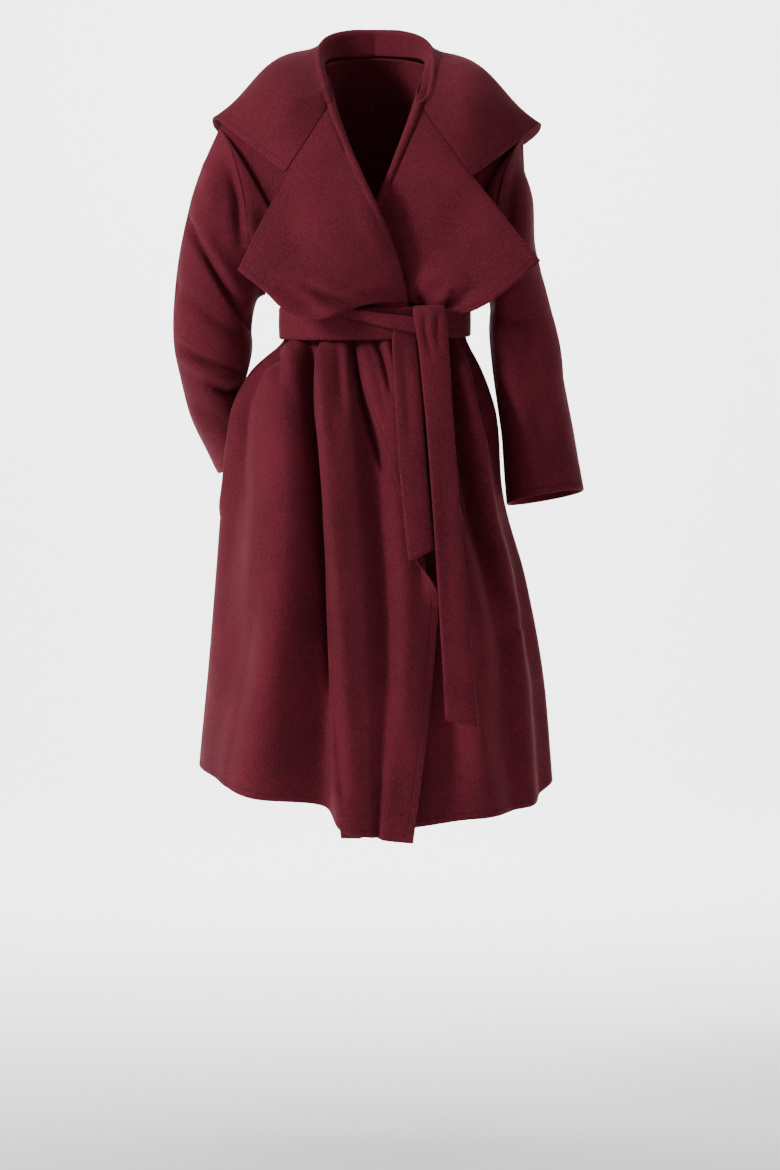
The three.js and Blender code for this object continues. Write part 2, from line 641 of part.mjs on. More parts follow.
// A strip along a path: each row has its left and right edge points, and how far its middle stands out.
function strip(rows, lengthCount, widthCount, thickness) {
  const rank = rows.map((_, i) => i / (rows.length - 1));
  const read = (name, axis, t) => through(rank, rows.map((r) => r[name][axis]), t);
  const grid = Array.from({ length: lengthCount }, (_, i) => {
    const t = i / (lengthCount - 1);
    const left = point(read("left", 0, t), read("left", 1, t), read("left", 2, t));
    const right = point(read("right", 0, t), read("right", 1, t), read("right", 2, t));
    const crown = through(rank, rows.map((r) => r.crown), t);
    return Array.from({ length: widthCount }, (_, j) => {
      const v = j / (widthCount - 1);
      return left.clone().lerp(right, v).add(point(0, -crown * 4 * v * (1 - v), 0));
    });
  });
  return wall(grid, thickness);
}
const bar = (left, right, crown) => ({ left, right, crown });
const TAIL_LONG = [
  bar([65, -115.2, -374], [85, -106.6, -374], 0),
  bar([58, -143, -358], [98, -139, -357], 3),
  bar([57, -156, -370], [102, -150, -370], 4),
  bar([61, -160, -392], [104, -154, -392], 4),
  bar([66, -164, -428], [107, -158, -429], 3),
  bar([76, -190, -532], [113, -182, -534], 2),
  bar([86, -209, -660], [123, -200, -662], 2),
  bar([95, -222, -800], [135, -214, -804], 2),
  bar([103, -231, -945], [147, -224, -957], 2),
];
const TAIL_SHORT = [
  bar([32, -124.6, -356], [62, -119.2, -356], 1),
  bar([30, -125, -380], [60, -119.8, -380], 1),
  bar([27, -129, -412], [60, -124, -412], 1),
  bar([30, -164, -470], [66, -160, -470], 2),
  bar([35, -189, -560], [72, -184, -560], 2),
  bar([42, -203, -640], [78, -197, -636], 2),
  bar([50, -211, -718], [84, -205, -703], 2),
];
const STRAND = [
  bar([-34, -125.4, -373], [-34, -125.4, -362], 1),
  bar([-8, -127.4, -380], [-6, -127.4, -365], 1),
  bar([18, -129.2, -387], [20, -129.2, -369], 1),
  bar([52, -129.4, -393], [54, -129.4, -373], 1),
];
const flipped = (rows) => rows.map((r) => bar(r.right, r.left, r.crown));
piece("belt_tail_long", strip(TAIL_LONG, 22, 4, BELT_THICK));
piece("belt_tail_short", strip(TAIL_SHORT, 15, 4, BELT_THICK));
piece("belt_strand", strip(flipped(STRAND), 8, 4, BELT_THICK));

export default group;
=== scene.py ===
"""A belted wrap coat of thick burgundy wool, hollow, as it hangs when worn.

Each piece is a grid of points in the middle of its cloth, worked out in millimetres from the CAD solids'
own sizes, with closer seams. It is creased and thickened to a thin shell. Front -Y, wearer's right -X.
"""

import math

import bpy
import numpy as np
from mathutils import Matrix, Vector


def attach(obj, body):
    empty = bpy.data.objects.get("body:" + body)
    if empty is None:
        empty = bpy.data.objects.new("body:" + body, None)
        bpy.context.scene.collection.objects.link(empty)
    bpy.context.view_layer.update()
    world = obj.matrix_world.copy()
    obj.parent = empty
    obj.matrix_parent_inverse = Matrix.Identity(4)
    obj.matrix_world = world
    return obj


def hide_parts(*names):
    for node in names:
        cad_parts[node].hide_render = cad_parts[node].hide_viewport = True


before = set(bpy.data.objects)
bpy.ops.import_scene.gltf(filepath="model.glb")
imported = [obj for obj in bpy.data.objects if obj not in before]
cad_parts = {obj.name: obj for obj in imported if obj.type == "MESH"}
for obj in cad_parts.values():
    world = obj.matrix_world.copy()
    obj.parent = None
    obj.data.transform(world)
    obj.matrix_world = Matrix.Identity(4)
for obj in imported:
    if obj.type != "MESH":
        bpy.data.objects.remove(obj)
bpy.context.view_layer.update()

MM = 0.001

# Driving dimensions, in millimetres
CLOTH = 2.6
FOLD = 8.0  # between the middles of the two layers at a turned-back edge
WAIST_Z = -352.0
GATHER_Z = -385.0  # where the folds below the belt begin
BELT_Z = -379.0
BELT_WIDTH = 44.0
BELT_THICK = 4.0  # two layers
BELT_CROWN = 0.5  # how far the middle of its width stands out
BELT_TILT = 2.0  # it lies higher on the wearer's left and lower on the right
BELT_DIP = 3.0  # it lies lower in front and higher behind
CORNER_POWER = 0.91  # below 1, so the ovals are a little squarer than ellipses
WAIST_LIFT = 110.0  # how far above the waist the handle of the upper rows' curve is
BLOUSE = 30.0  # and how far out of the body it is
ROLL_OUT = {-1: 58.0, 1: 10.0}  # how far out it is at each front's roll line
BELT_ROWS = [WAIST_Z, -371.0, -388.0, -406.0]
LAST_ROW = 15.0  # the row number of the hem, where the belt's rows are 0 to 3
ARM_DEEP = 74.0  # half the depth of the armhole
LEAN_DROP = 130.0  # how far below the gathers a leaning fold leans in full
ARMHOLE_GAP = 1.2
BACK_SEAM_Y = 0.6  # between front and back along the sleeve's edge
LEFT_SHOULDER_DROP = 14.0
LEFT_SHOULDER_IN = 10.0

# Camera: a long lens at chest height, tipped down 5 degrees, as in the photograph
CAMERA_AT = Vector((0.0225, -4.4829, -0.3803))
CAMERA_TARGET = Vector((0.0225, 0.0, -0.7725))
PHOTO_LONG_SIDE = 1170
FOCAL_PIXELS = 3000
SENSOR_MM = 36.0
SOLE_Z = -1.6  # the floor, where the wearer's soles would be


def ease(t):
    t = np.clip(t, 0.0, 1.0)
    return t * t * (3 - 2 * t)


def smooth(knots, values, at):
    """A smooth curve through (knots, values), read at `at`, flat past its ends.

    values may hold one number a knot, or one array of at's shape a knot.
    """
    knots = np.asarray(knots, float)
    values = np.asarray(values, float)
    at = np.asarray(at, float)
    if knots[0] > knots[-1]:
        knots, values = knots[::-1], values[::-1]
    last = len(knots) - 1
    before = np.maximum(np.arange(last + 1) - 1, 0)
    after = np.minimum(np.arange(last + 1) + 1, last)
    spread = (knots[after] - knots[before]).reshape((-1,) + (1,) * (values.ndim - 1))
    slopes = (values[after] - values[before]) / spread
    at = np.clip(at, knots[0], knots[-1])
    i = np.clip(np.searchsorted(knots, at, side="right") - 1, 0, last - 1)

    def take(table, index):
        if table.ndim == 1:
            return table[index]
        return np.take_along_axis(table, index[None], 0)[0]

    span = knots[i + 1] - knots[i]
    t = (at - knots[i]) / span
    start = take(values, i) * (1 + 2 * t) * (1 - t) ** 2 + take(slopes, i) * span * t * (1 - t) ** 2
    end = take(values, i + 1) * t * t * (3 - 2 * t) + take(slopes, i + 1) * span * t * t * (t - 1)
    return start + end


def along(points, t):
    """A smooth curve in space through the points, t from 0 to 1 shared evenly between them."""
    points = np.asarray(points, float)
    knots = np.linspace(0, 1, len(points))
    return np.stack([smooth(knots, points[:, axis], t) for axis in range(3)], -1)


def unit(v):
    return v / np.maximum(np.linalg.norm(v, axis=-1, keepdims=True), 1e-9)


def signed_power(v, power):
    return np.sign(v) * np.abs(v) ** power


def grid_normals(grid, closed=False):
    """Unit normals of a grid of points [row, column], out of the cloth's right side."""
    if closed:
        across = np.roll(grid, -1, 1) - np.roll(grid, 1, 1)
    else:
        across = np.gradient(grid, axis=1)
    down = np.gradient(grid, axis=0)
    return unit(np.cross(across, down))


# Oval sections of the coat's body from the waist down: half widths and depths
SECTION_NAMES = ("z", "left", "right", "front", "back")
SECTIONS = dict(zip(SECTION_NAMES, np.array([
    (WAIST_Z, 135, 135, 108, 100),
    (GATHER_Z, 133, 133, 107, 99),
    (-406, 134, 134, 108, 100),
    (-455, 182, 158, 138, 124),
    (-520, 214, 178, 160, 142),
    (-640, 228, 188, 178, 156),
    (-760, 238, 221, 190, 168),
    (-900, 250, 247, 201, 180),
    (-1043, 264, 260, 211, 190),
    (-1130, 269, 265, 217, 195),
], float).T))

# Folds: angle round the body and how far the cloth stands out, at the belt, hip, knee and hem;
# how far it leans round the body; and where its hem ends
FOLD_LEVELS = [GATHER_Z, -530, -780, -1120]
FRONT_RIGHT_FOLDS = [
    ([270, 270, 270, 270], [0, 0, 0, 0], 0, -1043),
    ([284, 294, 298, 292], [-11, -9, -8, -6], 0, -1048),
    ([297, 310, 314, 306], [1, 4, 4, 5], 0, -1056),
    ([307, 326, 329, 322], [1, 9, 12, 16], 0, -1066),
    ([320, 336, 342, 344], [-14, -25, -34, -42], 0, -1080),
    ([328, 343, 349, 355], [1, 13, 14, 12], -15, -1108),
    ([343, 352, 356, 359], [1, 8, 5, 4], 0, -1117),
    ([349, 358, 362.5, 360.5], [-13, -13, -11, -8], 0, -1119),
    ([362, 367, 369, 362], [-2, 3, 4, 3], 0, -1121),
    ([376.8, 378, 374.5, 364.7], [0, 3, 4, 4], 0, -1123),
]
FRONT_LEFT_FOLDS = [
    ([90, 90, 90, 90], [0, 0, 0, 0], 0, -1056),
    ([82, 81, 81, 80], [1, 3, 4, 6], 0, -1064),
    ([72, 68, 70, 70], [-10, -8, -6, -6], 0, -1076),
    ([60, 53, 58, 59], [1, 12, 10, 6], 0, -1086),
    ([50, 42, 50, 50], [-12, -20, -12, -3], 0, -1090),
    ([40, 32, 38, 38], [-2, 4, 7, 5], 0, -1094),
    ([30, 22, 25, 26], [-16, -17, -13, -7], 0, -1098),
    ([18, 14, 14, 14], [-28, -27, -27, -20], 0, -1106),
    ([4, 4, 4, 6], [-33, -31, -30, -30], 0, -1112),
    ([-9, -5, -3, 0], [-35, -33, -32, -33], 0, -1119),
    ([-20, -13, -8, -4], [-36, -35, -34, -36], 0, -1125),
]
BACK_FOLDS = [
    ([90, 90, 90, 90], [0, 0, 0, 0], 0, -1056),
    ([104, 102, 101, 100], [-10, -8, -6, -4], 0, -1057),
    ([116, 114, 112, 111], [1, 9, 11, 14], 0, -1058),
    ([128, 127, 127, 127], [-12, -14, -14, -13], 0, -1059),
    ([141, 140, 139, 140], [1, 10, 12, 14], 0, -1060),
    ([153, 153, 153, 154], [-13, -17, -19, -22], 0, -1061),
    ([165, 166, 168, 170], [1, 11, 14, 17], 0, -1062),
    ([178, 180, 184, 187], [-11, -14, -17, -20], 0, -1062),
    ([190, 193, 198, 202], [1, 12, 15, 19], 0, -1061),
    ([203, 206, 210, 214], [-13, -16, -19, -21], 0, -1059),
    ([216, 219, 223, 227], [1, 10, 13, 16], 0, -1056),
    ([230, 234, 238, 240], [-11, -13, -13, -11], 0, -1052),
    ([243, 247, 251, 253], [1, 8, 9, 10], 0, -1048),
    ([256, 259, 261, 262], [-8, -6, -5, -3], 0, -1045),
    ([270, 270, 270, 270], [0, 0, 0, 0], 0, -1043),
]

# The right side seam parts into a pocket mouth, where the cuff rests
POCKET_TOP_Z = -418.0
POCKET_BOTTOM_Z = -668.0
MOUTH_FRONT = 17.0
MOUTH_BACK = 9.0
MOUTH_IN = 40.0
MOUTH_FLARE = 9.0
MOUTH_REACH = 0.16


def pocket_mouth(z):
    t = np.clip((POCKET_TOP_Z - z) / (POCKET_TOP_Z - POCKET_BOTTOM_Z), 0, 1)
    return np.maximum(np.sin(math.pi * t), 0) ** 0.7


def oval_frame(angle, z):
    """The oval's point at an angle and height, the direction out of it and the one round it."""
    a = np.radians(angle)
    read = {name: smooth(SECTIONS["z"], SECTIONS[name], z) for name in SECTION_NAMES[1:]}
    half = np.where(np.sin(a) < 0, read["left"], read["right"])
    deep = np.where(np.cos(a) > 0, read["front"], read["back"])
    x = half * signed_power(np.sin(a), CORNER_POWER)
    y = -deep * signed_power(np.cos(a), CORNER_POWER)
    out = unit(np.stack([np.sin(a) / half, -np.cos(a) / deep, 0 * a], -1))
    turned = np.stack([-out[..., 1], out[..., 0], 0 * a], -1)
    return np.stack([x, y, z + 0 * a], -1), out, turned


def skirt_points(folds, share, z, pocket_side=0):
    """Points of a panel below the waist: share goes across its folds, from 0 to 1."""
    ranks = np.linspace(0, 1, len(folds))
    angle = smooth(ranks, [smooth(FOLD_LEVELS, f[0], z) for f in folds], share)
    out = smooth(ranks, [smooth(FOLD_LEVELS, f[1], z) for f in folds], share)
    if pocket_side:
        from_seam = share if pocket_side > 0 else 1 - share
        give = pocket_mouth(z) * (1 - ease(from_seam / MOUTH_REACH))
        angle = angle + give * (MOUTH_FRONT if pocket_side > 0 else -MOUTH_BACK)
        out = out + give * (MOUTH_FLARE if pocket_side > 0 else -MOUTH_IN)
    drop = np.clip((GATHER_Z - z) / LEAN_DROP, 0, 1)
    lean = smooth(ranks, [float(f[2]) for f in folds], share) * drop
    place, away, turned = oval_frame(angle, z)
    return place + away * out[..., None] + turned * lean[..., None]


def skirt_height(folds, share, row):
    """Heights of a panel's rows below the waist: rows 0 to 3 lie under the belt, row 15 is the hem."""
    ends = smooth(np.linspace(0, 1, len(folds)), [float(f[3]) for f in folds], share)
    last = len(BELT_ROWS) - 1
    near = np.interp(row, range(last + 1), BELT_ROWS)
    t = np.clip((row - last) / (LAST_ROW - last), 0, 1) ** 1.12
    return np.where(row < last, near, BELT_ROWS[last] + (ends - BELT_ROWS[last]) * t)


def seam_points(side):
    """Named points of one side's seams. The left shoulder hangs lower and reaches out less."""
    low = LEFT_SHOULDER_DROP if side > 0 else 0
    inward = LEFT_SHOULDER_IN if side > 0 else 0

    def place(x, y, z):
        return np.array([side * (x - (inward if x > 150 else 0)), y, z], float)

    return {
        "underarm": place(164, 0, -338),
        "arm_low": lambda y: place(178, y * 0.9, -272),
        "arm_middle": lambda y: place(190, y, -195),
        "arm_high": lambda y: place(208, y * 0.72, -130 - low * 0.5),
        "tip": place(227, 0, -92 - low),
        "shoulder": place(150, 0, -27 - low * 0.5),
        "neck": place(76, 0, -2),
        "roll_start": place(61, -80, -64),
    }


def top_edge(side, facing, share, stops):
    """A panel's top edge, from the underarm over the armhole and the shoulder to the neck."""
    s = seam_points(side)
    tip, neck, end = stops
    y = facing * ARM_DEEP
    armhole = [s["underarm"], s["arm_low"](y), s["arm_middle"](y), s["arm_high"](y), s["tip"]]
    if facing < 0:
        between = (s["neck"] + s["roll_start"]) / 2 + np.array([-side * 3, 0, 3])
        neckline = [s["neck"], between, s["roll_start"]]
    else:
        neckline = [s["neck"], np.array([side * 44, 60, 10]), np.array([0, 74, 14])]
    on_arm = along(armhole, share / tip)
    on_shoulder = along([s["tip"], s["shoulder"], s["neck"]], (share - tip) / (neck - tip))
    on_neck = along(neckline, (share - neck) / (end - neck))
    share = share[..., None]
    return np.where(share < tip, on_arm, np.where(share < neck, on_shoulder, on_neck))


# How the body's cloth leaves the armhole, from the underarm (0) up to the shoulder's tip (1)
LEAVE_UP = [0, 0.3, 0.55, 0.8, 1]
LEAVE_INWARD = [0, 16, 30, 32, 12]
LEAVE_FORWARD = [12, 10, 12, 34, 66]
LEAVE_DOWN = [15, 42, 42, 38, 44]
# How it leaves the shoulder seam and the start of the roll line, and how far to the side of the roll
# line's end and above it the curve's handle at the waist is
SHOULDER_FORWARD = 86
SHOULDER_DOWN = -46
ROLL_LEAVE = np.array([-14, -46, -50])
ROLL_ASIDE = 10
ROLL_LIFT = 95


def upper_points(side, facing, share, stops, waist, t):
    """Rows of a panel from its top edge down to the waist ring: share and waist by column, t by row."""
    tip, neck, end = stops
    top = top_edge(side, facing, share, stops)
    up_arm = np.clip(share / tip, 0, 1)
    leave = np.stack([
        -side * smooth(LEAVE_UP, LEAVE_INWARD, up_arm),
        facing * smooth(LEAVE_UP, LEAVE_FORWARD, up_arm),
        -smooth(LEAVE_UP, LEAVE_DOWN, up_arm),
    ], -1)
    over = ease((share - tip) / (neck - tip))[:, None]
    leave = leave * (1 - over) + np.array([0, facing * SHOULDER_FORWARD, SHOULDER_DOWN]) * over
    out = unit(waist * np.array([1, 1, 0]))
    lift = np.array([0, 0, WAIST_LIFT]) + out * BLOUSE
    if facing < 0:
        to_roll = ease((share - neck) / (1 - neck))[:, None]
        leave = leave * (1 - to_roll) + ROLL_LEAVE * np.array([side, 1, 1]) * to_roll
        lift = lift * (1 - to_roll) + np.array([side * ROLL_ASIDE, -ROLL_OUT[side], ROLL_LIFT]) * to_roll
    t = t[:, None, None]
    s = 1 - t
    return (top * s**3 + (top + leave) * 3 * s * s * t
            + (waist + lift) * 3 * s * t * t + waist * t**3)


# Rows and columns of the fine grids
UPPER_COUNT = 84
BELT_COUNT = 22
SKIRT_COUNT = 104
FRONT_COUNT = 136
BACK_COUNT = 196
ARC_COUNT = 9
LAPEL_COUNT = 44
# Shares of a panel's columns at the shoulder's tip, the neck's side and the end of the neckline
FRONT_STOPS = (10 / 24, 19 / 24, 1.0)
BACK_STOPS = (10 / 32, 14 / 32, 0.5)


def row_numbers():
    belt = np.linspace(0, 3, BELT_COUNT, endpoint=False)
    return np.concatenate([belt, np.linspace(3, LAST_ROW, SKIRT_COUNT)])


def panel(side, facing, folds, stops, count, pocket_side):
    """A whole panel's grid: its upper rows, then its rows from the waist to the hem."""
    share = np.linspace(0, 1, count)
    rows = row_numbers()[:, None]
    z = skirt_height(folds, share[None, :], rows)
    skirt = skirt_points(folds, np.broadcast_to(share, z.shape), z, pocket_side)
    waist = skirt_points(folds, share, np.full(count, WAIST_Z))
    t = np.linspace(0, 1, UPPER_COUNT, endpoint=False)
    if facing < 0:
        upper = upper_points(side, facing, share, stops, waist, t)
    else:
        half = count // 2
        left = upper_points(1, 1, share[:half], stops, waist[:half], t)
        right = upper_points(-1, 1, 1 - share[half:], stops, waist[half:], t)
        upper = np.concatenate([left, right], 1)
    return np.concatenate([upper, skirt], 0)


# The lapels' free edges: how far down the roll line the row starts, and the edge's place
LAPEL_DOWN = [0, 0.25, 0.5, 0.65, 0.8, 0.9, 1]
LAPEL_TIP = 0.5
LAPEL_EDGE = {
    -1: [(-127, -112, -164), (-163, -116, -234), (-198, -119, -304), (-160, -133, -334),
         (-117, -145, -370), (-66, -153, -373), (-26, -112, WAIST_Z + 9)],
    1: [(141, -112, -169), (190, -120, -230), (238, -126, -291), (202, -135, -323),
        (160, -140, -354), (128, -128, -366), (99, -92, WAIST_Z + 2)],
}
# The turned-back edge below the belt, and between which heights it opens out
FACING = {
    -1: ([-385, -412, -481, -567, -651, -700], [-24, -29, -14, 16, 44, 58], -690, -800),
    1: ([-385, -450, -560, -650, -740], [96, 80, 52, 26, -6], -740, -860),
}
OPEN_EDGE = 15.0  # how wide it is where it stands open
OPENED = 0.4  # the share of the opening at which it has left the cloth under it
SIDE_COLUMNS = 40  # a front's columns round the side, which its turned edge never reaches
TURN_LENGTH = math.pi * FOLD / 2  # cloth in the turn of a folded edge
LAPEL_CROWN = 9.0
CROWN_FADE = 0.6  # where down the roll line the lapel's crown starts to fade
LAPEL_JOIN = 0.93  # where it starts to become the turned edge below the belt


def front_grid(side, folds):
    """One whole front: its flat part, the turn at its roll line, and the lapel laid back over it."""
    flat = panel(side, -1, folds, FRONT_STOPS, FRONT_COUNT, 1 if side < 0 else 0)
    edge = flat[:, -1]
    out = grid_normals(flat)[:, -1] * (-1 if side < 0 else 1)
    away = unit(np.cross(np.gradient(edge, axis=0), out) * (-1 if side < 0 else 1))
    facing_z, facing_x, opens, opened = FACING[side]
    upper = np.arange(len(flat)) < UPPER_COUNT
    opening = np.where(upper, 0, ease((opens - edge[:, 2]) / (opens - opened)))
    turned = math.pi * (1 - opening)
    bend = np.maximum(turned, 1e-3) / TURN_LENGTH

    def rolled(length):
        reach = (np.sin(bend * length) / bend)[:, None]
        height = ((1 - np.cos(bend * length)) / bend)[:, None]
        return edge + away * reach + out * height

    arc = np.stack([rolled(TURN_LENGTH * (k + 1) / (ARC_COUNT + 1)) for k in range(ARC_COUNT)], 1)
    start = rolled(TURN_LENGTH)
    s = np.linspace(0, 1, LAPEL_COUNT)[None, :, None]

    down = np.clip(np.arange(len(flat)) / UPPER_COUNT, 0, 1)
    ends = np.array(LAPEL_EDGE[side], float)
    tip = LAPEL_DOWN.index(LAPEL_TIP)
    end = np.stack([
        np.where(down <= LAPEL_TIP, smooth(LAPEL_DOWN[:tip + 1], ends[:tip + 1, axis], down),
                 smooth(LAPEL_DOWN[tip:], ends[tip:, axis], down)) for axis in range(3)
    ], -1)
    fade = 1 - ease((down - CROWN_FADE) / (1 - CROWN_FADE))
    crown = LAPEL_CROWN * np.sin(math.pi * s**0.8) * fade[:, None, None]
    above = start[:, None] * (1 - s) + end[:, None] * s - crown * np.array([0, 1, 0])

    heading = away * np.cos(turned)[:, None] + out * np.sin(turned)[:, None]
    straight = start[:, None] + heading[:, None] * s * OPEN_EDGE
    rows = np.concatenate([np.zeros(UPPER_COUNT), row_numbers()])
    share = np.linspace(0, 1, FRONT_COUNT)
    far_x = smooth(facing_z, facing_x, edge[:, 2])
    far = np.array([
        np.interp(side * x, side * line[SIDE_COLUMNS:, 0][::-1], share[SIDE_COLUMNS:][::-1])
        for x, line in zip(far_x, flat)
    ])
    across = 1 + (far[:, None] - 1) * s[..., 0]
    z = skirt_height(folds, across, rows[:, None])
    under = skirt_points(folds, across, z)
    laid = under + unit(under * np.array([1, 1.3, 0])) * FOLD
    give = ease(opening / OPENED)[:, None, None]
    below = laid * (1 - give) + straight * give
    to_below = np.where(upper, ease((down - LAPEL_JOIN) / (1 - LAPEL_JOIN)), 1)[:, None, None]
    lapel = above * (1 - to_below) + below * to_below
    return np.concatenate([flat, arc, lapel], 1)


# The collar: points on the neck seam, the roll, the middle of the fall and its outer edge, for the
# wearer's right, from the gorge round to the middle of the back
COLLAR = {
    "neck": [(-62, -77, -55), (-65, -68, -46), (-68, -58, -36), (-73, -32, -12),
             (-74, -2, 3), (-64, 34, 12), (-42, 58, 16), (0, 73, 19)],
    "roll": [(-65, -74, -48), (-68, -64, -38), (-72, -54, -26), (-77, -28, -2),
             (-78, 6, 22), (-66, 40, 40), (-38, 62, 50), (0, 74, 52)],
    "middle": [(-122, -99, -92), (-132, -88, -66), (-146, -62, -34), (-156, -14, -4),
               (-140, 50, 6), (-106, 92, -6), (-62, 118, -12), (0, 126, -16)],
    "edge": [(-154, -94, -142), (-193, -64, -113), (-235, -20, -80), (-236, 30, -94),
             (-204, 92, -118), (-150, 132, -138), (-80, 150, -148), (0, 158, -152)],
}
COLLAR_COUNT = 181
FALL_COUNT = 46
STAND_COUNT = 12
TOP_COUNT = 8
LEFT_COLLAR_SHIFT = (8, 0, -11)
COLLAR_TURN = 5.0
GORGE_GAP = 1.0
GORGE_ROWS = 7  # rows over which each end of the collar comes to lie along its gorge seam


def collar_line(across, name):
    """One of the collar's lines, across from the wearer's right gorge (0) to the left one (1)."""
    half = np.where(across <= 0.5, across * 2, 2 - across * 2)
    points = along(COLLAR[name], half)
    shift = np.array([0, 0, -2] if name == "neck" else LEFT_COLLAR_SHIFT, float)
    mirrored = points * np.array([-1, 1, 1]) + shift * (1 - ease(half))[:, None]
    return np.where((across <= 0.5)[:, None], points, mirrored)


def curve3(a, b, c, t):
    """The smooth curve through three lines of points, for all t: rows of points."""
    lines = [np.broadcast_to(p[:, None], (len(a), len(t), 3)) for p in (a, b, c)]
    at = np.broadcast_to(t, (len(a), len(t)))
    return np.stack([
        smooth([0, 0.5, 1], [line[..., axis] for line in lines], at) for axis in range(3)
    ], -1)


def collar_grid(fronts):
    """The collar's stand, its roll and its fall, in columns; its ends lie along the lapels' top edges."""
    across = np.linspace(0, 1, COLLAR_COUNT)
    neck, roll, middle, edge = (collar_line(across, n) for n in ("neck", "roll", "middle", "edge"))
    away = unit((middle - roll) * np.array([1, 1, 0]))
    start = roll + away * COLLAR_TURN * 2
    fall = curve3(start, middle, edge, np.linspace(0, 1, FALL_COUNT))
    lapel_start = FRONT_COUNT + ARC_COUNT
    peak = (roll + start) / 2 + np.array([0, 0, COLLAR_TURN])
    for side, rows in ((-1, range(GORGE_ROWS)), (1, range(-1, -GORGE_ROWS - 1, -1))):
        top = fronts[side][0]
        gap = np.array([side * GORGE_GAP, 0, GORGE_GAP])
        gorge = along(top[lapel_start:], np.linspace(0, 1, FALL_COUNT)) + gap
        turn = top[FRONT_COUNT - 1:lapel_start] + gap
        for k, row in enumerate(rows):
            t = ease(k / GORGE_ROWS)
            fall[row] = gorge * (1 - t) + fall[row] * t
            start[row] = fall[row][0]
            roll[row] = turn[0] * (1 - t) + roll[row] * t
            neck[row] = (turn[0] + np.array([0, 2, -1])) * (1 - t) + neck[row] * t
            peak[row] = turn[ARC_COUNT // 2] * (1 - t) + peak[row] * t
    stand_t = np.linspace(0, 1, STAND_COUNT)[None, :, None]
    stand = neck[:, None] * (1 - stand_t) + roll[:, None] * stand_t
    over = curve3(roll, peak, start, np.linspace(0, 1, TOP_COUNT + 2)[1:-1])
    return np.concatenate([stand, over, fall], 1)


# Sleeves: outer and inner edges (x, z) as seen from the front, middle y, half depth, yaw, dip
SLEEVES = {
    -1: [
        ((-262, -170), (-176, -346), 4, 76, 0, 0),
        ((-287, -266), (-182, -366), 6, 74, 0, 0),
        ((-298, -350), (-185, -392), 8, 72, 0, 0),
        ((-299, -410), (-184, -418), 10, 71, 0, 0),
        ((-291, -456), (-190, -450), 12, 68, 2, 0),
        ((-274, -522), (-202, -494), 13, 60, 6, 4),
        ((-244, -582), (-198, -548), 10, 51, 12, 6),
        ((-233, -604), (-193, -574), 8, 47, 14, 6),
    ],
    1: [
        ((224, -190), (172, -352), 0, 76, 0, 0),
        ((244, -306), (171, -392), 0, 76, 0, 0),
        ((264, -392), (175, -440), -2, 75, 0, 0),
        ((279, -462), (182, -492), -2, 74, 0, 2),
        ((293, -530), (190, -548), -2, 73, 0, 8),
        ((303, -586), (194, -602), -2, 72, 0, 14),
        ((311, -630), (198, -650), -2, 71, 0, 20),
    ],
}
SLEEVE_COLUMNS = 130
SLEEVE_ROWS = 150


def armhole_loop(side, turn):
    """The sleeve's first ring, from the shoulder's tip down the front and up the back."""
    p = seam_points(side)

    def half(y):
        return [p["tip"], p["arm_high"](y), p["arm_middle"](y), p["arm_low"](y), p["underarm"]]

    share = turn / math.pi
    front = along(half(-ARM_DEEP), share)
    back = along(half(ARM_DEEP), 2 - share) + np.array([0, BACK_SEAM_Y, 0])
    loop = np.where((share <= 1)[:, None], front, back)
    return loop + np.array([side * ARMHOLE_GAP, 0, 0])


def sleeve_ring(row, turn):
    """One ring of a sleeve, from a row of its table."""
    (outer_x, outer_z), (inner_x, inner_z), y, deep, yaw, dip = row
    centre = np.array([(outer_x + inner_x) / 2, y, (outer_z + inner_z) / 2])
    c, s = math.cos(math.radians(yaw)), math.sin(math.radians(yaw))
    half_x = (outer_x - inner_x) / 2
    side = np.array([half_x * c, half_x * s, (outer_z - inner_z) / 2])
    front = np.array([deep * s, -deep * c, dip / 2])
    a = signed_power(np.cos(turn), CORNER_POWER)[:, None]
    b = signed_power(np.sin(turn), CORNER_POWER)[:, None]
    return centre + a * side + b * front


def sleeve_grid(side):
    """A whole sleeve, from the armhole through its rings to the cuff."""
    turn = np.linspace(0, 2 * math.pi, SLEEVE_COLUMNS, endpoint=False)
    rings = np.array([armhole_loop(side, turn)] + [sleeve_ring(r, turn) for r in SLEEVES[side]])
    knots = np.linspace(0, 1, len(rings))
    t = np.broadcast_to(np.linspace(0, 1, SLEEVE_ROWS)[:, None], (SLEEVE_ROWS, SLEEVE_COLUMNS))
    grid = np.stack([
        smooth(knots, np.broadcast_to(rings[:, None, :, axis], (len(rings),) + t.shape), t)
        for axis in range(3)
    ], -1)
    return grid if side < 0 else grid[:, ::-1]


BELT_SIDE, BELT_FRONT, BELT_BACK = 140.7, 121.7, 107.0  # half width, and depth before and behind
# The belt's ends, and the strand that crosses it: both edges of the strip, and how far its middle stands out
TAIL_LONG = [
    ((65, -115.2, -374), (85, -106.6, -374), 0),
    ((58, -143, -358), (98, -139, -357), 3),
    ((57, -156, -370), (102, -150, -370), 4),
    ((61, -160, -392), (104, -154, -392), 4),
    ((66, -164, -428), (107, -158, -429), 3),
    ((76, -190, -532), (113, -182, -534), 2),
    ((86, -209, -660), (123, -200, -662), 2),
    ((95, -222, -800), (135, -214, -804), 2),
    ((103, -231, -945), (147, -224, -957), 2),
]
TAIL_SHORT = [
    ((31, -124.6, -375), (61, -119.4, -375), 1),
    ((30, -125, -386), (60, -119.8, -386), 1),
    ((27, -129, -412), (60, -124, -412), 1),
    ((30, -164, -470), (66, -160, -470), 2),
    ((35, -189, -560), (72, -184, -560), 2),
    ((42, -203, -640), (78, -197, -636), 2),
    ((50, -211, -718), (84, -205, -703), 2),
]
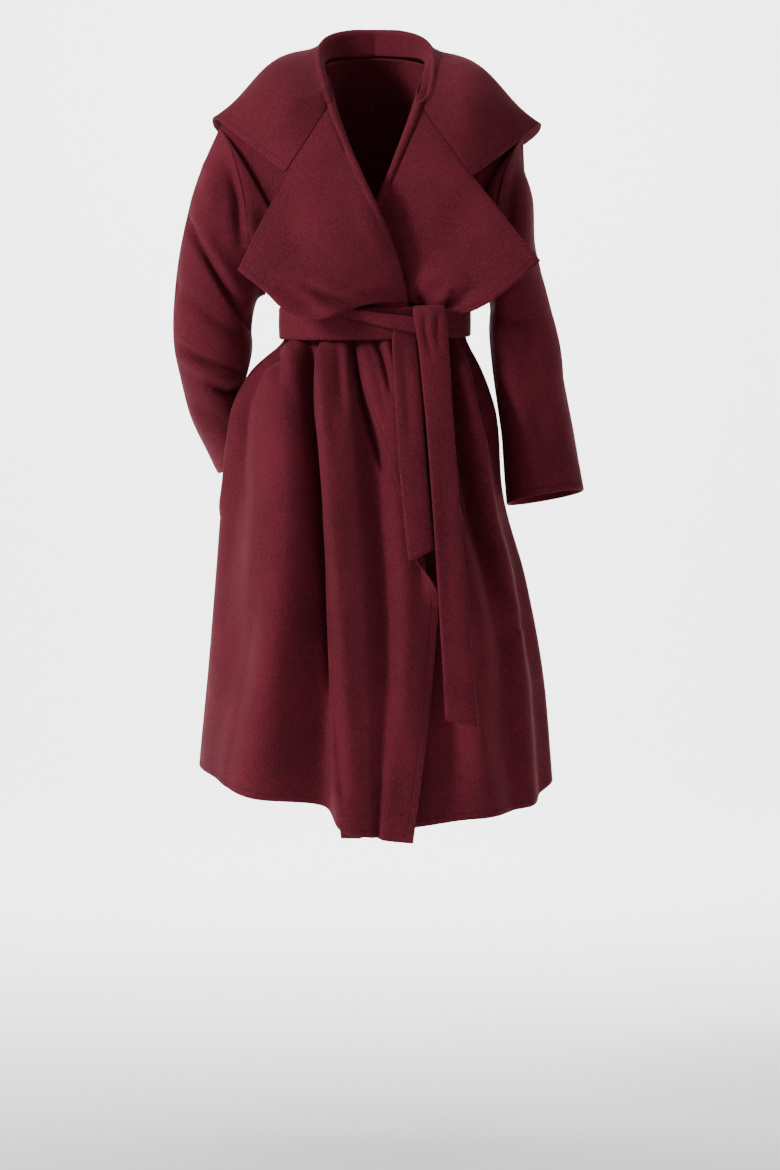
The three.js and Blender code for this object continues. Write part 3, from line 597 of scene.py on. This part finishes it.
STRAND = [
    ((-34, -125.4, -373), (-34, -125.4, -362), 1),
    ((-8, -127.4, -380), (-6, -127.4, -365), 1),
    ((18, -129.2, -387), (20, -129.2, -369), 1),
    ((66, -129.4, -395), (68, -129.4, -376), 1),
]


BELT_COLUMNS = 300
STRIP_COLUMNS = 15


def belt_grid():
    """The belt's band round the waist, each row one turn."""
    angle = np.linspace(0, 2 * math.pi, BELT_COLUMNS, endpoint=False)[None, :]
    v = np.linspace(-0.5, 0.5, STRIP_COLUMNS)[:, None]
    out = BELT_CROWN * (1 - 4 * v * v)
    deep = np.where(np.cos(angle) > 0, BELT_FRONT, BELT_BACK) + out
    x = (BELT_SIDE + out) * signed_power(np.sin(angle), CORNER_POWER)
    y = -deep * signed_power(np.cos(angle), CORNER_POWER)
    z = BELT_Z - v * BELT_WIDTH + BELT_TILT * np.sin(angle) - BELT_DIP * np.cos(angle)
    return np.stack([x, y, z + 0 * x], -1)


def strip_grid(rows, count):
    """A strip that hangs or lies along the rows of its table."""
    t = np.linspace(0, 1, count)
    left = along([r[0] for r in rows], t)[:, None]
    right = along([r[1] for r in rows], t)[:, None]
    crown = smooth(np.linspace(0, 1, len(rows)), [float(r[2]) for r in rows], t)[:, None, None]
    v = np.linspace(0, 1, STRIP_COLUMNS)[None, :, None]
    return left * (1 - v) + right * v - np.array([0, 1, 0]) * crown * 4 * v * (1 - v)


CRUMPLE_LENGTHS = (70, 190)  # the shortest and longest wave
STEEP = 0.45  # how wide a crease's sharper flank is, as a share of the other


def crumple(u, v, size, waves, seed):
    """A gentle unevenness, from a few crossing waves of seeded direction and length."""
    draw = np.random.default_rng(seed)
    total = np.zeros_like(u)
    for _ in range(waves):
        turn = draw.uniform(0, math.pi)
        length = draw.uniform(*CRUMPLE_LENGTHS)
        phase = draw.uniform(0, 2 * math.pi)
        total += np.sin((u * math.cos(turn) + v * math.sin(turn)) * 2 * math.pi / length + phase)
    return total * size / waves


def stroke_field(u, v, strokes):
    """Troughs (depth below 0) and ridges drawn as lines: (points, width, depth, sharper side).

    The sharper side is -1 or 1 for a crease whose one flank is steep, and 0 for an even one.
    """
    total = np.zeros_like(u)
    for points, width, depth, sharp in strokes:
        points = np.asarray(points, float)
        best = np.full(u.shape, np.inf)
        flank = np.zeros_like(u)
        progress = np.zeros_like(u)
        for k in range(len(points) - 1):
            a, b = points[k], points[k + 1]
            du, dv = b - a
            t = np.clip(((u - a[0]) * du + (v - a[1]) * dv) / (du * du + dv * dv), 0, 1)
            ru, rv = u - a[0] - t * du, v - a[1] - t * dv
            near = np.hypot(ru, rv)
            closer = near < best
            best = np.where(closer, near, best)
            flank = np.where(closer, np.sign(ru * dv - rv * du), flank)
            progress = np.where(closer, (k + t) / (len(points) - 1), progress)
        wide = width * np.where(flank == sharp, STEEP, 1.0) if sharp else width
        taper = np.sin(math.pi * np.clip(progress, 0.04, 0.96)) ** 0.5
        total += depth * taper * np.exp(-((best / wide) ** 2))
    return total


# Creases drawn as lines seen from the front or the back: (x, z) points, width, depth (a trough
# below 0, a ridge above) and the sharper side: -1 or 1 for one steep flank, 0 for an even crease
SKIRT_STROKES = [
    ([(-152, -408), (-147, -436), (-141, -462)], 7, -8, 0),
    ([(-124, -405), (-114, -440), (-108, -486)], 13, 6, 0),
    ([(-100, -404), (-98, -433), (-93, -538), (-80, -688), (-69, -807), (-60, -942), (-50, -1047)],
     12, -15, 1),
    ([(-84, -410), (-76, -470), (-70, -560)], 12, 5, 0),
    ([(-56, -405), (-52, -450), (-47, -500)], 7, -4, 0),
    ([(-36, -402), (-30, -440), (-22, -490), (-4, -545), (12, -590)], 8, -12, 1),
    ([(-18, -410), (-4, -470), (10, -530)], 9, 4, 0),
    ([(0, -402), (12, -430), (24, -478)], 5, -8, 0),
    ([(16, -404), (24, -440)], 5, 4, 0),
    ([(1, -616), (12, -740), (22, -880), (30, -1036)], 15, -5, 0),
    ([(-182, -790), (-196, -860), (-206, -930)], 22, -6, 0),
    ([(-120, -777), (-140, -860), (-152, -936), (-161, -1040)], 30, 6, 0),
    ([(-205, -560), (-214, -700), (-226, -860)], 24, -5, 0),
    ([(110, -402), (117, -465), (126, -531), (149, -657), (174, -742), (209, -826)], 12, -15, -1),
    ([(124, -420), (136, -500), (165, -640), (198, -800)], 15, 6, 0),
    ([(142, -420), (160, -500), (184, -600)], 10, -6, 0),
    ([(88, -820), (96, -950), (100, -1060)], 24, -5, 0),
    ([(165, -860), (184, -960), (196, -1060)], 26, -6, 0),
    ([(140, -900), (150, -1000), (158, -1080)], 22, 5, 0),
]
LAPEL_STROKES = [
    ([(-96, -330), (-70, -345), (-42, -354), (-8, -361)], 8, -10, 0),
    ([(-100, -316), (-68, -329), (-38, -339), (-8, -342)], 12, 7, 0),
    ([(-150, -322), (-112, -345), (-84, -366)], 12, -5, 0),
    ([(62, -338), (74, -350), (86, -358)], 7, -9, 0),
    ([(112, -340), (108, -350), (100, -360)], 7, -9, 0),
    ([(86, -360), (98, -346), (109, -332)], 9, 8, 0),
    ([(60, -318), (96, -314), (140, -322)], 15, 5, 0),
    ([(150, -330), (132, -345), (116, -358)], 10, -5, 0),
    ([(-30, -180), (-4, -240), (22, -300)], 16, 3, 0),
    ([(150, -190), (120, -250), (84, -300)], 30, -4, 0),
    ([(-130, -200), (-120, -260), (-96, -310)], 30, -4, 0),
]
BACK_STROKES = [
    ([(-128, -262), (-116, -310), (-104, -352)], 9, -8, 0),
    ([(-104, -270), (-92, -320), (-84, -352)], 10, 5, 0),
    ([(-66, -250), (-58, -305), (-54, -352)], 9, -9, 1),
    ([(-30, -280), (-26, -320), (-24, -352)], 10, 5, 0),
    ([(-4, -262), (0, -310), (2, -352)], 8, -8, 0),
    ([(46, -255), (48, -305), (50, -352)], 9, -9, -1),
    ([(74, -285), (72, -320), (70, -352)], 9, 5, 0),
    ([(112, -260), (104, -310), (96, -352)], 9, -8, 0),
    ([(-120, -406), (-136, -470), (-150, -560)], 9, -8, 1),
    ([(-74, -406), (-84, -500), (-92, -640)], 9, -9, 0),
    ([(-34, -406), (-38, -470), (-44, -560)], 8, -6, 0),
    ([(8, -406), (8, -500), (14, -660)], 9, -9, -1),
    ([(48, -406), (54, -480), (62, -580)], 8, -6, 0),
    ([(92, -406), (106, -500), (120, -620)], 9, -9, 0),
    ([(-150, -760), (-158, -900), (-166, -1030)], 26, -6, 0),
    ([(-20, -780), (-24, -900), (-30, -1040)], 28, -6, 0),
    ([(110, -740), (120, -880), (130, -1030)], 28, 6, 0),
    ([(-150, -180), (-110, -225), (-60, -250)], 18, -4, 0),
    ([(150, -190), (100, -235), (50, -255)], 18, -4, 0),
]
SLEEVE_STROKES = {
    -1: [
        ([(-280, -222), (-262, -262), (-234, -308), (-206, -352), (-186, -386)], 10, -11, 1),
        ([(-262, -232), (-238, -282), (-206, -330)], 14, 5, 0),
        ([(-292, -330), (-262, -352), (-226, -378), (-192, -400)], 13, -5, 0),
        ([(-292, -408), (-262, -430), (-226, -446), (-196, -450)], 9, -7, -1),
        ([(-284, -430), (-250, -452), (-214, -464)], 9, 5, 0),
        ([(-240, -474), (-216, -484), (-194, -480)], 7, -8, 0),
        ([(-276, -490), (-246, -512), (-214, -528)], 12, -4, 0),
        ([(-214, -150), (-200, -200), (-194, -262)], 9, -7, 0),
        ([(-246, -128), (-238, -170), (-240, -215)], 14, 4, 0),
    ],
    1: [
        ([(208, -150), (198, -210), (190, -280)], 9, -7, 0),
        ([(230, -150), (222, -210), (218, -290)], 13, 5, 0),
        ([(196, -330), (214, -400), (224, -480)], 15, -6, 0),
        ([(252, -300), (262, -380), (276, -470)], 20, 4, 0),
        ([(232, -480), (246, -540), (256, -610)], 16, -5, 0),
        ([(176, -360), (200, -376), (236, -380)], 10, -4, 0),
    ],
}
SLEEVE_BACK_STROKES = {
    -1: [
        ([(-288, -300), (-250, -330), (-200, -352)], 12, -8, 1),
        ([(-294, -360), (-250, -380), (-198, -392)], 12, -8, -1),
        ([(-292, -420), (-250, -432), (-206, -430)], 10, -6, 0),
        ([(-226, -140), (-214, -200), (-204, -270)], 12, -6, 0),
    ],
    1: [
        ([(188, -300), (216, -330), (252, -345)], 12, -6, 0),
        ([(186, -380), (220, -410), (262, -420)], 13, -6, 0),
        ([(212, -150), (204, -220), (196, -290)], 11, -6, 0),
        ([(226, -470), (240, -540), (250, -610)], 18, -4, 0),
    ],
}
BELT_STROKES = [
    ([(120, -372), (106, -377), (98, -380)], 5, -2, 0),
    ([(124, -386), (108, -389), (98, -390)], 5, -2, 0),
    ([(-60, -368), (-20, -374), (20, -382)], 6, -1.5, 0),
]
TAIL_STROKES = [
    ([(72, -366), (74, -392), (82, -430)], 5, -2.5, 0),
    ([(92, -366), (90, -388), (92, -420)], 5, -2, 0),
    ([(40, -410), (46, -470), (52, -560)], 8, -2, 0),
    ([(100, -560), (104, -700), (112, -860)], 14, -2, 0),
]
# The size of the cloth's gentle unevenness, on the body, the sleeves, the belt's ends and the belt
CRUMPLE = 3.0
SLEEVE_CRUMPLE = 2.0
TAIL_CRUMPLE = 1.2
BELT_CRUMPLE = 0.8
CRUMPLE_WAVES = 7
CREASE_GAIN = 1.7  # how much deeper every crease is than its table says
EDGE_ON = 0.15  # cloth turned less than this to the front or the back takes no creases
FACE_ON = 0.50  # and from here it takes them in full


def outward(grid, about_rows):
    """The level direction out of the body, or out of a sleeve's own middle."""
    if about_rows:
        return unit((grid - grid.mean(1, keepdims=True)) * np.array([1, 1, 0]))
    return unit(grid * np.array([0.6, 1, 0]))


def creased(grid, strokes, back_strokes=(), about_rows=False, crumpled=CRUMPLE, seed=1):
    """The grid with its listed creases and a seeded unevenness, both along its outward direction."""
    out = outward(grid, about_rows)
    x, y, z = grid[..., 0], grid[..., 1], grid[..., 2]
    in_front = ease((-out[..., 1] - EDGE_ON) / (FACE_ON - EDGE_ON))
    behind = ease((out[..., 1] - EDGE_ON) / (FACE_ON - EDGE_ON))
    depth = stroke_field(x, z, strokes) * in_front + stroke_field(x, z, back_strokes) * behind
    depth = depth * CREASE_GAIN
    depth = depth + crumple(x + 0.7 * y, z, crumpled, CRUMPLE_WAVES, seed) * (in_front + behind)
    return grid + out * depth[..., None]


NO_EDGE = 1e3  # a distance far beyond any felled line, in millimetres


def edge_distance(grid, felled):
    """How far each point is from its grid's felled edges, in millimetres."""
    distance = np.full(grid.shape[:2], NO_EDGE)
    if "last row" in felled:
        down = np.cumsum(np.linalg.norm(np.diff(grid, axis=0), axis=-1), 0)
        distance[:-1] = np.minimum(distance[:-1], down[-1] - np.vstack([0 * down[:1], down[:-1]]))
        distance[-1] = 0
    for column, flip in (("last column", False), ("first column", True)):
        if column not in felled:
            continue
        line = grid[:, ::-1] if flip else grid
        across = np.cumsum(np.linalg.norm(np.diff(line, axis=1), axis=-1), 1)
        start = np.hstack([0 * across[:, :1], across])
        near = across[:, -1:] - start
        distance = np.minimum(distance, near[:, ::-1] if flip else near)
    return distance


RIM_REACH = 0.8  # how far a rounded rim stands beyond its edge, of half the thickness


def shell(name, grid, thickness, material, closed, distance):
    """A thin closed shell about a grid of points, with rounded rims, as one Blender object."""
    rows, columns = grid.shape[:2]
    normal = grid_normals(grid, closed)
    half = thickness / 2
    count = rows * columns
    index = np.arange(count).reshape(rows, columns)
    outer = (grid + normal * half).reshape(-1, 3)
    inner = (grid - normal * half).reshape(-1, 3)
    points = [outer, inner]
    j = np.arange(columns if closed else columns - 1)
    k = (j + 1) % columns
    i = np.arange(rows - 1)[:, None]
    corners = np.stack([index[i, j], index[i + 1, j], index[i + 1, k], index[i, k]], -1).reshape(-1, 4)
    quads = [corners[:, ::-1], count + corners]

    def rim(line, beyond):
        """Rounds one closed edge: line is its grid indices, beyond the direction out of the cloth."""
        base = sum(len(p) for p in points)
        points.append(grid.reshape(-1, 3)[line] + beyond * half * RIM_REACH)
        a = np.arange(len(line))
        b = (a + 1) % len(line)
        quads.append(np.stack([line[a], base + a, base + b, line[b]], -1))
        quads.append(np.stack([base + a, count + line[a], count + line[b], base + b], -1))

    top_out = unit(grid[0] - grid[1])
    bottom_out = unit(grid[-1] - grid[-2])
    if closed:
        rim(index[0], top_out)
        rim(index[-1][::-1], bottom_out[::-1])
    else:
        left_out = unit(grid[:, 0] - grid[:, 1])
        right_out = unit(grid[:, -1] - grid[:, -2])
        line = np.concatenate([index[0, :-1], index[:-1, -1], index[-1, :0:-1], index[:0:-1, 0]])
        beyond = np.concatenate([top_out[:-1], right_out[:-1], bottom_out[:0:-1], left_out[:0:-1]])
        rim(line, beyond)

    mesh = bpy.data.meshes.new(name)
    vertices = np.concatenate(points) * MM
    faces = np.concatenate(quads)
    mesh.from_pydata(vertices.tolist(), [], faces.tolist())
    mesh.validate()
    mesh.polygons.foreach_set("use_smooth", [True] * len(mesh.polygons))
    on_rims = np.zeros(len(vertices) - 2 * count)
    values = np.concatenate([distance.reshape(-1), distance.reshape(-1), on_rims])
    mesh.attributes.new("edge_mm", "FLOAT", "POINT").data.foreach_set("value", values.astype(np.float32))
    mesh.materials.append(material)
    obj = bpy.data.objects.new(name, mesh)
    bpy.context.scene.collection.objects.link(obj)
    return obj


# The wool: its tones, how many noise cells a metre its mottling, nap and crosswise strands have, and how
# far the felled line lies from the free edges, in millimetres
WOOL_DARK = (0.058, 0.0052, 0.0110, 1)
WOOL_LIGHT = (0.146, 0.0130, 0.0262, 1)
WOOL_SHEEN = (0.75, 0.12, 0.17, 1)
MOTTLE_SCALE, NAP_SCALE, STRAND_SCALE = 9, 520, 260
MOTTLE_SHARE = 0.25  # of the tone; the nap has the rest
STRAND_STRETCH = (1, 1, 2.6)
FELLED_LINE = 9.0
LINE_INNER, LINE_OUTER = 0.6, 2.2  # half the width of its groove, at the bottom and at the top
GROOVE_PAINTED_SHADE = 0.86  # painted shade in the groove: how dark the cloth is painted there, as a share of its tone beside it
BUMP_DEPTH = 0.0012  # in metres


def wool():
    """Double-faced wool: a short nap over fine strands, with a felled line near its free edges, whose groove
    has painted shade.
    """
    material = bpy.data.materials.new("wool")
    material.use_nodes = True
    nodes, links = material.node_tree.nodes, material.node_tree.links
    shader = nodes["Principled BSDF"]
    shader.inputs["Roughness"].default_value = 0.92
    shader.inputs["Specular IOR Level"].default_value = 0.18
    shader.inputs["Sheen Weight"].default_value = 0.12
    shader.inputs["Sheen Roughness"].default_value = 0.45
    shader.inputs["Sheen Tint"].default_value = WOOL_SHEEN

    place = nodes.new("ShaderNodeTexCoord").outputs["Object"]

    def noise(scale, detail, stretch=None):
        node = nodes.new("ShaderNodeTexNoise")
        node.inputs["Scale"].default_value = scale
        node.inputs["Detail"].default_value = detail
        node.inputs["Roughness"].default_value = 0.6
        if stretch:
            mapping = nodes.new("ShaderNodeMapping")
            mapping.inputs["Scale"].default_value = stretch
            links.new(place, mapping.inputs["Vector"])
            links.new(mapping.outputs["Vector"], node.inputs["Vector"])
        else:
            links.new(place, node.inputs["Vector"])
        return node.outputs["Fac"]

    def math_node(operation, a, b):
        node = nodes.new("ShaderNodeMath")
        node.operation = operation
        for socket, value in zip(node.inputs, (a, b)):
            if isinstance(value, (int, float)):
                socket.default_value = value
            else:
                links.new(value, socket)
        return node.outputs[0]

    mottle = noise(MOTTLE_SCALE, 3)
    nap = noise(NAP_SCALE, 3)
    strands = noise(STRAND_SCALE, 2, STRAND_STRETCH)
    edge = nodes.new("ShaderNodeAttribute")
    edge.attribute_name = "edge_mm"
    from_line = math_node("ABSOLUTE", math_node("SUBTRACT", edge.outputs["Fac"], FELLED_LINE), 0)
    line = nodes.new("ShaderNodeMapRange")
    line.inputs["From Min"].default_value = LINE_INNER
    line.inputs["From Max"].default_value = LINE_OUTER
    links.new(from_line, line.inputs["Value"])

    of_mottle = math_node("MULTIPLY", mottle, MOTTLE_SHARE)
    of_nap = math_node("MULTIPLY", nap, 1 - MOTTLE_SHARE)
    tone = math_node("ADD", of_mottle, of_nap)
    ramp = nodes.new("ShaderNodeValToRGB")
    ramp.color_ramp.elements[0].position = 0.37
    ramp.color_ramp.elements[0].color = WOOL_DARK
    ramp.color_ramp.elements[1].position = 0.63
    ramp.color_ramp.elements[1].color = WOOL_LIGHT
    links.new(tone, ramp.inputs["Fac"])
    # Painted shade: the tone is multiplied darker along the felled line's groove
    shade = nodes.new("ShaderNodeMix")
    shade.data_type = "RGBA"
    shade.blend_type = "MULTIPLY"
    shade.inputs["Factor"].default_value = 1.0
    dim = nodes.new("ShaderNodeMapRange")
    dim.inputs["To Min"].default_value = GROOVE_PAINTED_SHADE
    dim.inputs["To Max"].default_value = 1.0
    links.new(line.outputs["Result"], dim.inputs["Value"])
    links.new(ramp.outputs["Color"], shade.inputs["A"])
    links.new(dim.outputs["Result"], shade.inputs["B"])
    links.new(shade.outputs["Result"], shader.inputs["Base Color"])

    height = math_node("ADD", math_node("MULTIPLY", nap, 0.5), math_node("MULTIPLY", strands, 0.5))
    height = math_node("ADD", height, math_node("MULTIPLY", line.outputs["Result"], 0.5))
    bump = nodes.new("ShaderNodeBump")
    bump.inputs["Strength"].default_value = 0.6
    bump.inputs["Distance"].default_value = BUMP_DEPTH
    links.new(height, bump.inputs["Height"])
    links.new(bump.outputs["Normal"], shader.inputs["Normal"])
    return material


def plain(name, colour, roughness):
    material = bpy.data.materials.new(name)
    material.use_nodes = True
    shader = material.node_tree.nodes["Principled BSDF"]
    shader.inputs["Base Color"].default_value = (*colour, 1)
    shader.inputs["Roughness"].default_value = roughness
    return material


def camera():
    data = bpy.data.cameras.new("camera")
    data.sensor_fit = "VERTICAL"
    data.sensor_height = SENSOR_MM
    data.lens = SENSOR_MM * FOCAL_PIXELS / PHOTO_LONG_SIDE
    obj = bpy.data.objects.new("camera", data)
    obj.location = CAMERA_AT
    obj.rotation_euler = (CAMERA_TARGET - CAMERA_AT).to_track_quat("-Z", "Y").to_euler()
    bpy.context.scene.collection.objects.link(obj)
    bpy.context.scene.camera = obj


def area_light(name, place, target, size, power):
    data = bpy.data.lights.new(name, "AREA")
    data.shape = "RECTANGLE"
    data.size, data.size_y = size
    data.energy = power
    obj = bpy.data.objects.new(name, data)
    obj.location = place
    obj.rotation_euler = (Vector(target) - Vector(place)).to_track_quat("-Z", "Y").to_euler()
    bpy.context.scene.collection.objects.link(obj)


# The floor and backdrop, in metres: half its width, where it starts to curve up, its curve and its top
FLOOR_REACH = 16.0
CURVE_START = 3.0
CURVE_RADIUS = 1.5
BACKDROP_TOP = 5.0
# The lights: name, place, what it points at, its width and height in metres, and its power in watts
LIGHTS = [
    ("key", (-3.5, -2.0, 1.4), (0, 0, -0.6), (0.9, 1.2), 195),
    ("fill", (3.2, -3.4, 0.4), (0, 0, -0.6), (2.4, 2.4), 3),
    ("top", (0, 0.2, 2.4), (0, 0, -0.4), (2.0, 2.0), 26),
    ("backdrop", (0, 1.2, 1.2), (0, 4.5, -0.6), (4.0, 1.0), 520),
]
WORLD_STRENGTH = 0.36


def studio():
    """A plain pale floor that curves up into a backdrop, and soft light from the viewer's left."""
    curve = [math.radians(90 * k / 12) for k in range(13)]
    profile = [(-FLOOR_REACH, SOLE_Z)]
    profile += [
        (CURVE_START + CURVE_RADIUS * math.sin(a), SOLE_Z + CURVE_RADIUS * (1 - math.cos(a)))
        for a in curve
    ]
    profile += [(CURVE_START + CURVE_RADIUS, BACKDROP_TOP)]
    vertices = [(x, y, z) for y, z in profile for x in (-FLOOR_REACH, FLOOR_REACH)]
    faces = [(2 * i, 2 * i + 1, 2 * i + 3, 2 * i + 2) for i in range(len(profile) - 1)]
    mesh = bpy.data.meshes.new("floor")
    mesh.from_pydata(vertices, [], faces)
    mesh.polygons.foreach_set("use_smooth", [True] * len(mesh.polygons))
    mesh.materials.append(plain("paper", (0.96, 0.96, 0.96), 0.9))
    floor = bpy.data.objects.new("floor", mesh)
    bpy.context.scene.collection.objects.link(floor)
    for light in LIGHTS:
        area_light(*light)
    world = bpy.data.worlds.new("world")
    world.use_nodes = True
    world.node_tree.nodes["Background"].inputs["Color"].default_value = (1, 1, 1, 1)
    world.node_tree.nodes["Background"].inputs["Strength"].default_value = WORLD_STRENGTH
    bpy.context.scene.world = world


camera()
studio()
cloth = wool()
front_strokes = SKIRT_STROKES + LAPEL_STROKES
fronts = {
    side: creased(front_grid(side, folds), front_strokes)
    for side, folds in ((-1, FRONT_RIGHT_FOLDS), (1, FRONT_LEFT_FOLDS))
}
back = creased(panel(0, 1, BACK_FOLDS, BACK_STOPS, BACK_COUNT, pocket_side=-1), [], BACK_STROKES)
collar = collar_grid(fronts)
sleeves = {
    side: creased(sleeve_grid(side), SLEEVE_STROKES[side], SLEEVE_BACK_STROKES[side],
                  about_rows=True, crumpled=SLEEVE_CRUMPLE, seed=5 + side)
    for side in (-1, 1)
}
belt = creased(belt_grid(), BELT_STROKES, crumpled=BELT_CRUMPLE)
strips = {
    name: creased(strip_grid(rows, count), TAIL_STROKES, crumpled=TAIL_CRUMPLE)
    for name, rows, count in (("long", TAIL_LONG, 160), ("short", TAIL_SHORT, 100), ("strand", STRAND, 30))
}

# Each node's grid, whether its rows close on themselves, its felled edges, its flat cut (width and length)
# and the cut's area in metres, and how it is held
PIECES = {
    "front_right": (fronts[-1][:, ::-1], False, ("last row", "first column"), (0.62, 1.13), 0.48, "hung"),
    "front_left": (fronts[1], False, ("last row", "last column"), (0.62, 1.13), 0.46, "hung"),
    "back": (back, False, ("last row",), (0.80, 1.10), 0.645, "hung"),
    "collar": (collar, False, ("last column",), (0.66, 0.28), 0.17, "draped"),
    "sleeve_right": (sleeves[-1], True, ("last row",), (0.42, 0.46), 0.155, "hung"),
    "sleeve_left": (sleeves[1], True, ("last row",), (0.42, 0.50), 0.172, "hung"),
    "belt": (belt, True, (), (0.86, 0.044), 0.0375, "stretched"),
    "belt_tail_long": (strips["long"], False, (), (0.044, 0.64), 0.028, "hung"),
    "belt_tail_short": (strips["short"], False, (), (0.036, 0.40), 0.014, "hung"),
    "belt_strand": (strips["strand"], False, (), (0.11, 0.022), 0.0022, "stretched"),
}
for node, (grid, closed, felled, flat, area, held) in PIECES.items():
    thick = BELT_THICK if node.startswith("belt") else CLOTH
    obj = shell("look_" + node, grid, thick, cloth, closed, edge_distance(grid, felled))
    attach(obj, "root")
    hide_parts(node)
